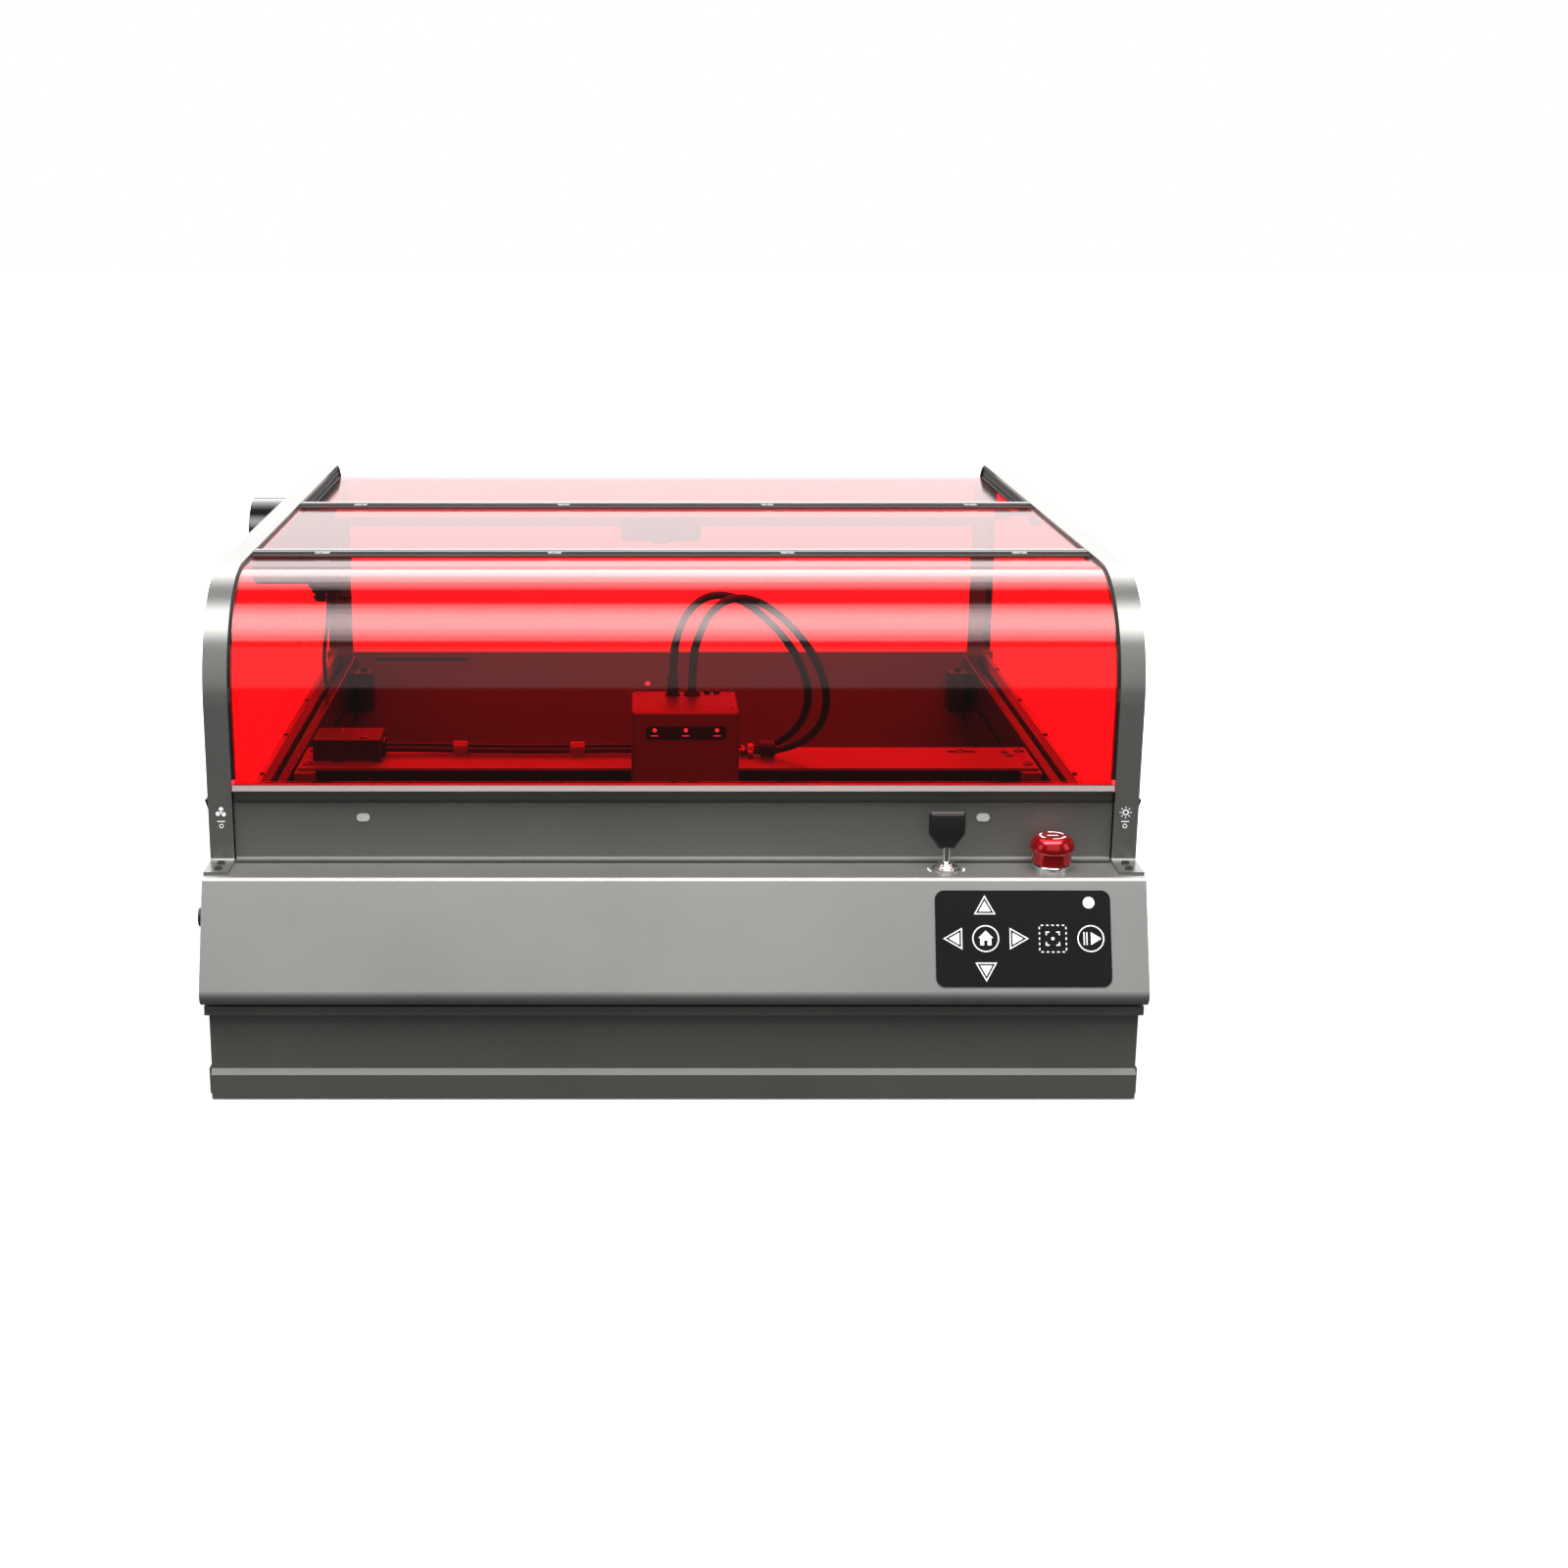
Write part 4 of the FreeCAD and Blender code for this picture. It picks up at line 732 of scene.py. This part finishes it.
def stop_cap():
    """Smooth mushroom head of the emergency stop, with a skirt that slides down over the collar."""
    bm = bmesh.new()
    profile = [
        (0, 14.3), (6.3, 14.3), (6.3, 9.8), (12.45, 9.8), (12.45, 5.1), (12.75, 5.1), (12.9, 5.3),
        (12.9, 12.2), (13.1, 12.7), (13.8, 13.1), (14.4, 13.6), (14.72, 14.5), (14.75, 15.6), (14.6, 16.9),
        (14.25, 18.2), (13.7, 19.5), (13.0, 20.7), (12.2, 21.7), (11.3, 22.4), (10.4, 22.85), (9.6, 23.0),
        (0, 23.0)]
    lathe(bm, profile, STOP_SPOT, Z_AXIS, 72)
    cap = finish_piece("stop_mushroom", bm, "stop_red", "stop_button")
    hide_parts("stop_cap")


def stop_collar():
    """Plated collar under the emergency stop, with a groove round it."""
    bm = bmesh.new()
    profile = [
        (10.8, 0), (12.28, 0), (12.28, 1.1), (11.85, 1.4), (11.85, 2.0), (12.28, 2.3), (12.28, 3.5),
        (11.9, 3.98), (10.8, 3.98), (10.8, 0)]
    lathe(bm, profile, STOP_SPOT, Z_AXIS, 72)
    collar = finish_piece("stop_collar", bm, "chrome", "root")
    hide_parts("stop_bezel")


def key_pieces():
    """Plastic bow on a bright shaft, and the lock's plated collar."""
    bm = bmesh.new()
    bow = [(-4.5, 160.3), (4.5, 160.3), (11, 169.8), (11, 183.5), (-11, 183.5), (-11, 169.8)]
    thick = 3.6
    slab(bm, bow, (KEY_X, KEY_Y + thick / 2, 0), X_AXIS, Z_AXIS, thick)
    bmesh.ops.remove_doubles(bm, verts=bm.verts, dist=0.001)
    bmesh.ops.bevel(bm, geom=bm.edges[:], offset=0.9, segments=3, profile=0.5, affect="EDGES")
    plate = finish_piece("key_bow", bm, "black_plastic", "switch_key")
    bm = bmesh.new()
    profile = [(0, 134), (3.2, 134), (3.2, 150.5), (2.6, 151.2), (2.6, 161.0), (0, 161.0)]
    lathe(bm, profile, (KEY_X, KEY_Y, 0), Z_AXIS, 40)
    shaft = finish_piece("key_shaft", bm, "chrome", "switch_key")
    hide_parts("key")
    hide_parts("key")

    bm = bmesh.new()
    profile = [(3.6, 0), (9.6, 0), (9.6, 0.7), (8.0, 1.4), (5.6, 4.4), (3.6, 5.2), (3.6, 0)]
    lathe(bm, profile, (KEY_X, KEY_Y, SHELF_LEVEL), Z_AXIS, 48)
    finish_piece("key_collar", bm, "chrome", "root")


def side_switch_marks():
    """Fan and lamp symbols beside the side switches, on the front of the frames."""
    bm = bmesh.new()

    frame_front = -288.02

    def mark(x, z, points, hole=None):
        slab(bm, points, (x, frame_front, z), X_AXIS, Z_AXIS, 0.14, hole)

    fan_x = -297.6
    lamp_x = 297.6
    symbol_z = 180.7
    for turn in (0, 120, 240):
        mark(fan_x, symbol_z, turned_points(arc_points(1.5, -60, 210, 8, (0.2, 2.2)), turn))
    mark(fan_x, symbol_z, circle_points(0.8, 14))
    mark(lamp_x, symbol_z, circle_points(2.0, 20), circle_points(1.3, 20))
    for turn in range(0, 360, 45):
        mark(lamp_x, symbol_z, turned_points(rounded(2.7, -0.25, 4.1, 0.25, 0.1, 1), turn))
    for x in (fan_x, lamp_x):
        mark(x, 174.5, rounded(-2.6, -0.3, 2.6, 0.3, 0.2, 1))
        mark(x, 171.4, circle_points(1.5, 18), circle_points(1.0, 18))
    finish_piece("side_switch_marks", bm, "white_print", "root")


# Laser head ----------------------------------------------------------------------------------

HEAD_FRONT = -163.5
HEAD_TOP = 219.0
INDICATORS_LEFT = -17.05
HOSE_Y = -110


def head_details():
    """Indicator strip, screws, ports, hose boots and thumbscrew of the laser head."""
    bm = bmesh.new()
    strip = rounded(0, 0, 56.7, 9.6, 2.0)
    domed_slab(bm, strip, (INDICATORS_LEFT, HEAD_FRONT + 0.02, 199.0), X_AXIS, Z_AXIS, 0.5, 0.25)
    finish_piece("head_indicator_strip", bm, "lens_glass", "laser_head")

    bm = bmesh.new()
    for along in (6.2, 28.3, 50.4):
        x = INDICATORS_LEFT + along
        dot = [(0, 0.35), (0.9, 0.3), (1.6, 0), (1.6, -0.2), (0, -0.2)]
        lathe(bm, dot, (x, HEAD_FRONT - 0.45, 205.6), -Y_AXIS, 20)
        dash = rounded(-2.6, -0.35, 2.6, 0.35, 0.3, 2)
        slab(bm, dash, (x, HEAD_FRONT - 0.46, 201.6), X_AXIS, Z_AXIS, 0.1)
    finish_piece("head_indicators", bm, "white_print", "laser_head")

    bm = bmesh.new()
    screw = [(0, 0.25), (1.2, 0.25, "hex"), (1.2, 0.5, "hex"), (2.3, 0.5), (2.9, 0.1), (2.9, -0.3), (0, -0.3)]
    for x in (-21.4, 43.6):
        for y in (-153.6, -103.2):
            lathe(bm, screw, (x, y, HEAD_TOP), Z_AXIS, 24)
    finish_piece("head_cover_screws", bm, "screw_steel", "laser_head")

    bm = bmesh.new()
    open_port = [(0, 1.2), (1.2, 1.2), (1.2, 2.6), (2.2, 2.6), (2.6, 2.2), (2.6, -0.3), (0, -0.3)]
    lathe(bm, open_port, (28.2, -104.5, HEAD_TOP), Z_AXIS, 24)
    plugged_port = [(0, 2.8), (1.6, 2.6), (2.2, 1.9), (2.4, 0.4), (2.4, -0.3), (0, -0.3)]
    lathe(bm, plugged_port, (35.0, -105.5, HEAD_TOP), Z_AXIS, 24)
    finish_piece("head_ports", bm, "black_plastic", "laser_head")

    bm = bmesh.new()
    ribbed = [(3.05, -0.3), (5.4, -0.3), (5.4, 1.2)]
    for i in range(7):
        low = 1.2 + 1.9 * i
        wide = 4.7 - 0.1 * i
        neck = wide - 0.8
        ribbed += [(neck, low + 0.2), (neck, low + 0.6), (wide, low + 0.9), (wide, low + 1.6)]
    ribbed += [(3.7, 14.9), (3.05, 15.3), (3.05, -0.3)]
    lathe(bm, ribbed, (3, HOSE_Y, HEAD_TOP), Z_AXIS, 28)
    plain_boot = [
        (3.05, -0.3), (6.2, -0.3), (6.2, 1.0), (5.6, 1.7), (4.6, 2.0), (4.6, 3.0), (4.1, 3.6), (3.05, 3.6),
        (3.05, -0.3)]
    lathe(bm, plain_boot, (17, HOSE_Y, HEAD_TOP), Z_AXIS, 28)
    boots = finish_piece("hose_boots", bm, "black_rubber", "laser_head")
    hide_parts("hose_fittings")

    bm = bmesh.new()
    spot = Vector((49.5, -131, 182))
    stem = [
        (0, 0), (2.1, 0), (2.1, 2.4), (4.1, 2.6), (4.3, 3.4), (4.1, 4.6), (3.2, 5.2), (2.9, 6.0), (3.4, 6.8),
        (5.0, 7.4), (5.0, 8.0), (0, 8.0)]
    lathe(bm, stem, spot, X_AXIS, 32)
    steps = 48
    knurl = [turned_points([(6.0 if i % 2 else 5.65, 0)], 360 * i / steps)[0] for i in range(steps)]
    slab(bm, knurl, spot + X_AXIS * 7.6, Y_AXIS, Z_AXIS, 3.4)
    face = [(0, 10.9), (4.9, 10.9), (5.3, 11.2), (5.3, 11.45), (4.6, 11.5), (4.2, 11.2), (0, 11.2)]
    lathe(bm, face, spot, X_AXIS, 32)
    knob = finish_piece("knurled_side_knob", bm, "knob_metal", "side_knob")
    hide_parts("focus_knob")


# Gantry --------------------------------------------------------------------------------------

PLATE_TOP = 159


def gantry_details():
    """Screws, cable clips, trim of the cable box and the wrap where the hoses end, all on the beam."""
    bm = bmesh.new()
    dimple = [(0, 0.05), (1.6, 0.05), (2.0, 0.02), (2.0, -0.1), (0, -0.1)]
    for side in (-1, 1):
        for y in (-81, -41):
            button_screw(bm, (side * 269.5, y, PLATE_TOP), 4.0, height=1.5)
        lathe(bm, dimple, (side * 269.5, -62, PLATE_TOP), Z_AXIS, 20)
    for x, y in ((257.5, -45.5), (259.5, -55.5)):
        button_screw(bm, (x, y, PLATE_TOP), 3.0, height=1.2)
    button_screw(bm, (225, -43, 157.6), 3.8, height=2.6)
    for x in (-222, 243):
        button_screw(bm, (x, -92, 150.5), 1.3, -Y_AXIS)
    for x, y in ((-229.5, -64), (-249, -41)):
        button_screw(bm, (x, y, 175.5), 3.0, height=1.1)
    finish_piece("gantry_screws", bm, "screw_steel", "gantry")

    bm = bmesh.new()
    for x, y in ((-157, -49.6), (-68, -52.0)):
        outer = arc_points(5.5, 0, 180, 16, (0, 4.6))
        inner = arc_points(4.7, 180, 0, 16, (0, 4.6))
        outline = [(13.5, 0.0), (13.5, 1.0), (5.5, 1.0)] + outer
        outline += [(-5.5, 1.0), (-7.2, 1.0), (-7.2, 0.0), (-4.7, 0.0)] + inner + [(4.7, 0.0)]
        slab(bm, outline, (x - 5.5, y, PLATE_TOP), Y_AXIS, Z_AXIS, 11.0)
        button_screw(bm, (x, y + 9.6, PLATE_TOP + 1), 2.6, height=1.2)
    finish_piece("cable_clips", bm, "gantry_metal", "gantry")

    bm = bmesh.new()
    for x in (-252, -222):
        slab(bm, rounded(0, 0, 8, 4, 1.5, 4), (x, -75.4, PLATE_TOP), X_AXIS, Y_AXIS, 0.8)
    outlet = rounded(-8.5, 0.4, 8.5, 12.5, 3)
    slab(bm, outlet, (-216.3, -50.5, 158.9), Y_AXIS, Z_AXIS, 2.3, rounded(-7.3, 1.6, 7.3, 11.3, 2.4))
    finish_piece("cable_box_trim", bm, "black_plastic", "gantry")

    bm = bmesh.new()
    wrap = rounded(-8.5, 160.0, 8.5, 170.5, 4.5, 6)
    for start in (70.5, 74.2, 77.9):
        slab(bm, wrap, (start, -57, 0), Y_AXIS, Z_AXIS, 3.2)
    core = rounded(-7.9, 160.6, 7.9, 169.9, 4.0, 6)
    slab(bm, core, (70.8, -57, 0), Y_AXIS, Z_AXIS, 10.0)
    finish_piece("hose_wrap", bm, "black_rubber", "gantry")


# Cabinet -------------------------------------------------------------------------------------

SEAL_MIDDLE = (-208, 253)
SEAL_RADIUS = 77.3
SEAL_FOOT = 202
TRIM_HALF = 289.2
REAR_PANEL = 347.98


def seal_strip(bm, side, near, far, depth, top_back):
    """Strip under a side frame's edge, from above the handle over the front bend to the top."""

    def edge(radius):
        bend = arc_points(radius, 180, 90, 20, SEAL_MIDDLE)
        return [(SEAL_MIDDLE[0] - radius, SEAL_FOOT)] + bend + [(top_back, SEAL_MIDDLE[1] + radius)]

    outer = edge(SEAL_RADIUS)
    inner = edge(SEAL_RADIUS - depth)
    low, high = sorted((side * near, side * far))
    for i in range(len(outer) - 1):
        quad = [outer[i], outer[i + 1], inner[i + 1], inner[i]]
        slab(bm, quad, (low, 0, 0), Y_AXIS, Z_AXIS, high - low)
    bmesh.ops.remove_doubles(bm, verts=bm.verts, dist=0.001)


def cabinet_seals():
    """Black seals along the side frames and beside the rear window."""
    for side, name in ((-1, "left"), (1, "right")):
        bm = bmesh.new()
        seal_strip(bm, side, 288.7, 290.4, 3.6, 60)
        finish_piece("lid_seal_" + name, bm, "black_rubber", "root")
        bm = bmesh.new()
        strips = ((289.3, 290.4, 321.6, 330.2), (287.2, 289.3, 321.6, 323.4), (288.3, 289.3, 325.2, 326.6))
        for near, far, low, high in strips:
            start, end = sorted((side * near, side * far))
            box_slab(bm, (start, 90, low), (end, 306, high))
        finish_piece("rear_seal_" + name, bm, "black_rubber", "root")


def cabinet_details():
    """Bracket of the fan lead, belt pulleys, and the small things on the rear housing."""
    bm = bmesh.new()
    lathe(bm, [(0, 0), (1.3, 0), (1.3, 33), (0, 33)], (-301, 206, 232.6), X_AXIS, 16)
    spool = [(0, 0), (3.4, 0), (3.4, 1.6), (2.4, 2.2), (2.4, 4.2), (3.4, 4.8), (3.4, 6.4), (0, 6.4)]
    for x in (-299.5, -279):
        lathe(bm, spool, (x, 206, 232.6), X_AXIS, 18)
    box_slab(bm, (-297.5, 203.5, 229), (-290.5, 208.5, 236.2))
    finish_piece("fan_lead_bracket", bm, "black_plastic", "root")

    bm = bmesh.new()
    pulley = [
        (0, 0), (2.2, 0), (2.2, 0.8), (5.6, 0.8), (5.6, 1.7), (4.4, 2.1), (4.4, 9.7), (5.6, 10.1),
        (5.6, 11.0), (2.2, 11.0), (2.2, 12.2), (0, 12.2)]
    for side in (-1, 1):
        for low in (123.0, 137.0):
            x0, x1 = sorted((side * 266.0, side * 278.0))
            slab(bm, rounded(x0, 270.5, x1, 284.2, 4), (0, 0, low), X_AXIS, Y_AXIS, 1.8)
        lathe(bm, pulley, (side * 272, 277, 124.8), Z_AXIS, 24)
        button_screw(bm, (side * 272, 277, 138.8), 2.4)
    finish_piece("belt_pulleys", bm, "black_extrusion", "root")

    bm = bmesh.new()
    lamp = [(0, 1.6), (1.2, 1.3), (2.1, 0.6), (2.4, 0), (2.4, -0.3), (0, -0.3)]
    lathe(bm, lamp, (-11.5, 317, 131), -Y_AXIS, 20)
    finish_piece("rear_wall_lamp", bm, "white_print", "root")

    # Black strip: painted shade inside the slot in the rear housing.
    bm = bmesh.new()
    slab(bm, rounded(-262, 0, -176, 2.4, 1.1), (0, 317.02, 153), X_AXIS, Z_AXIS, 0.5)
    finish_piece("rear_wall_slot_shade", bm, "black_rubber", "root")

    bm = bmesh.new()
    for middle in (-95, 95):
        for i in range(7):
            louvre = rounded(middle - 42, 0, middle + 42, 3.6, 1.7)
            domed_slab(bm, louvre, (0, REAR_PANEL, 92 + 7.5 * i), -X_AXIS, Z_AXIS, 1.1, 0.6)
    finish_piece("rear_louvres", bm, "cabinet_paint", "root")
    # Black strips under the louvres: painted shade of the vent openings.
    bm = bmesh.new()
    for middle in (-95, 95):
        for i in range(7):
            gap = rounded(middle - 41, 0, middle + 41, 1.7, 0.8)
            slab(bm, gap, (0, REAR_PANEL, 90.1 + 7.5 * i), -X_AXIS, Z_AXIS, 0.25)
    finish_piece("rear_louvre_gap_shade", bm, "black_rubber", "root")


def acrylic_edges():
    """Polished lower and side edges of the lid's red sheets, where the dye looks solid."""
    bm = bmesh.new()
    box_slab(bm, (-287.95, -285.5, 199.21), (287.95, -282.5, 200.49))
    finish_piece("shield_lower_band", bm, "red_acrylic", "lid")
    bm = bmesh.new()
    box_slab(bm, (-287.9, -285.6, 198.72), (287.9, -282.6, 199.2))
    finish_piece("shield_lower_edge", bm, "acrylic_edge", "lid")
    for side, name in ((-1, "left"), (1, "right")):
        bm = bmesh.new()
        seal_strip(bm, side, 287.6, 288.2, 3.0, 70)
        finish_piece("lid_sheet_edge_" + name, bm, "acrylic_edge", "lid")


def lid_handle():
    """Handle strip along the lid's lower edge: a sloped lip over a set-back foot."""
    lip = [
        (-281.6, 194.3), (-288.6, 194.3), (-288.6, 195.1), (-290.3, 195.1), (-290.4, 195.8), (-287.6, 198.7),
        (-281.6, 198.7)]
    bm = bmesh.new()
    slab(bm, lip, (-TRIM_HALF, 0, 0), Y_AXIS, Z_AXIS, 2 * TRIM_HALF)
    # The lip's reddish tint is a painted reflection of the red shield.
    strip = finish_piece("handle_lip", bm, "handle_paint_red_reflection", "lid", 20)
    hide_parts("lid_handle")


def front_wall_lines():
    """Rolled foot of the front wall, and dark strips of painted shade in the gaps under it and under the
    wall's set-back band.
    """
    roll = [
        (-284.9, 149.7), (-285.6, 149.4), (-286.4, 148.7), (-287.0, 147.8), (-287.1, 146.9), (-284.9, 146.8)]
    bm = bmesh.new()
    slab(bm, roll, (-TRIM_HALF, 0, 0), Y_AXIS, Z_AXIS, 2 * TRIM_HALF)
    finish_piece("front_wall_roll", bm, "dark_paint", "root")
    # Dark strips of painted shade in the gaps under the roll and under the set-back band.
    bm = bmesh.new()
    box_slab(bm, (-TRIM_HALF, -288.6, 146.01), (TRIM_HALF, -287.02, 146.16))
    box_slab(bm, (-TRIM_HALF, -287.06, 146.17), (TRIM_HALF, -286.2, 146.75))
    box_slab(bm, (-TRIM_HALF, -285.1, 186.6), (TRIM_HALF, -283.45, 187.05))
    finish_piece("front_wall_gap_shade", bm, "shadow_gap", "root")


# Front and rear edge of each crossbar, and the stretches of painted gap shade along its front, between its
# screws.
BARS = ((-171.0, -153.5), (61.0, 77.0))
BAR_TOP = 332.98
BAR_SHADE_STRETCHES = [(-TRIM_HALF, -246.2), (-235.8, -85.2), (-75.8, 75.8), (85.2, 235.8), (246.2, TRIM_HALF)]


def lid_bar_strips():
    """Bright rear edge of each crossbar, a black strip of painted shade for the gap along its front, and a
    dark red strip of painted shade in front of it.
    """
    bm = bmesh.new()
    for _, rear in BARS:
        edge = rounded(-TRIM_HALF, rear - 4.6, TRIM_HALF, rear - 0.1, 0.6, 2)
        domed_slab(bm, edge, (0, 0, BAR_TOP), X_AXIS, Y_AXIS, 0.5, 0.3)
    finish_piece("lid_bar_edges", bm, "knob_metal", "lid")
    bm = bmesh.new()
    for front, _ in BARS:
        for start, end in BAR_SHADE_STRETCHES:
            box_slab(bm, (start, front + 0.1, BAR_TOP), (end, front + 6.5, BAR_TOP + 0.25))
    finish_piece("lid_bar_gap_shade", bm, "painted_shade_black", "lid")
    bm = bmesh.new()
    for front, _ in BARS:
        box_slab(bm, (-287.8, front - 1.8, 330.45), (287.8, front - 0.02, 331.3))
    finish_piece("lid_bar_red_shade", bm, "dark_red_painted_shade", "lid")


def frame_gap_shade():
    """Black strips of painted shade in the gap between the front wall and the side frames."""
    bm = bmesh.new()
    for side in (-1, 1):
        for near, far, front in ((290.2, 303.5, -285.45), (289.45, 289.98, -286.6)):
            start, end = sorted((side * near, side * far))
            box_slab(bm, (start, front, 148.5), (end, -285.0, 193.5))
    finish_piece("frame_gap_shade", bm, "painted_shade_black", "root")


def honeycomb():
    """Steel honeycomb in its tray frame."""
    low, high = (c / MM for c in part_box("honeycomb_bed"))
    bm = bmesh.new()
    rim = 9.0
    rims = (
        ((low.x, low.y), (high.x, low.y + rim)),
        ((low.x, high.y - rim), (high.x, high.y)),
        ((low.x, low.y + rim), (low.x + rim, high.y - rim)),
        ((high.x - rim, low.y + rim), (high.x, high.y - rim)),
    )
    for a, b in rims:
        box_slab(bm, (*a, low.z), (*b, high.z))
    cell = 7.0
    wall = 0.35
    step_x = math.sqrt(3) * cell
    step_y = 1.5 * cell
    columns = int((high.x - low.x - 2 * rim) / step_x)
    rows = int((high.y - low.y - 2 * rim) / step_y)
    start_x = (low.x + high.x - (columns - 0.5) * step_x) / 2
    start_y = (low.y + high.y - (rows - 1) * step_y) / 2
    bottom = low.z + 1.0
    top = high.z - 0.6
    for row in range(rows):
        for column in range(columns):
            middle = (start_x + (column + 0.5 * (row % 2)) * step_x, start_y + row * step_y)
            corners = [Vector(point) for point in arc_points(cell, 30, 210, 3, middle)]
            for a, b in zip(corners, corners[1:]):
                across = Vector((-(b - a).y, (b - a).x)).normalized() * wall
                ring = [a + across, b + across, b - across, a - across]
                lower = [bm.verts.new((*p, bottom)) for p in ring]
                upper = [bm.verts.new((*p, top)) for p in ring]
                bridge(bm, lower, upper)
                bm.faces.new(upper)
                bm.faces.new(lower)
    bed = finish_piece("honeycomb_cells", bm, "honeycomb_metal", "drawer")
    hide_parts("honeycomb_bed")


make_cords()
keypad_marks()
stop_and_key_marks()
stop_cap()
stop_collar()
key_pieces()
side_switch_marks()
head_details()
gantry_details()
cabinet_seals()
cabinet_details()
acrylic_edges()
lid_handle()
front_wall_lines()
lid_bar_strips()
frame_gap_shade()
honeycomb()

bpy.context.scene.view_settings.view_transform = "Standard"
bpy.context.view_layer.update()


def plain(value):
    """Nested vectors as plain lists of numbers."""
    return [plain(v) for v in value] if hasattr(value, "__len__") else float(value)


{"cad": plain(CAD_BOX), "visual": plain(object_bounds())}
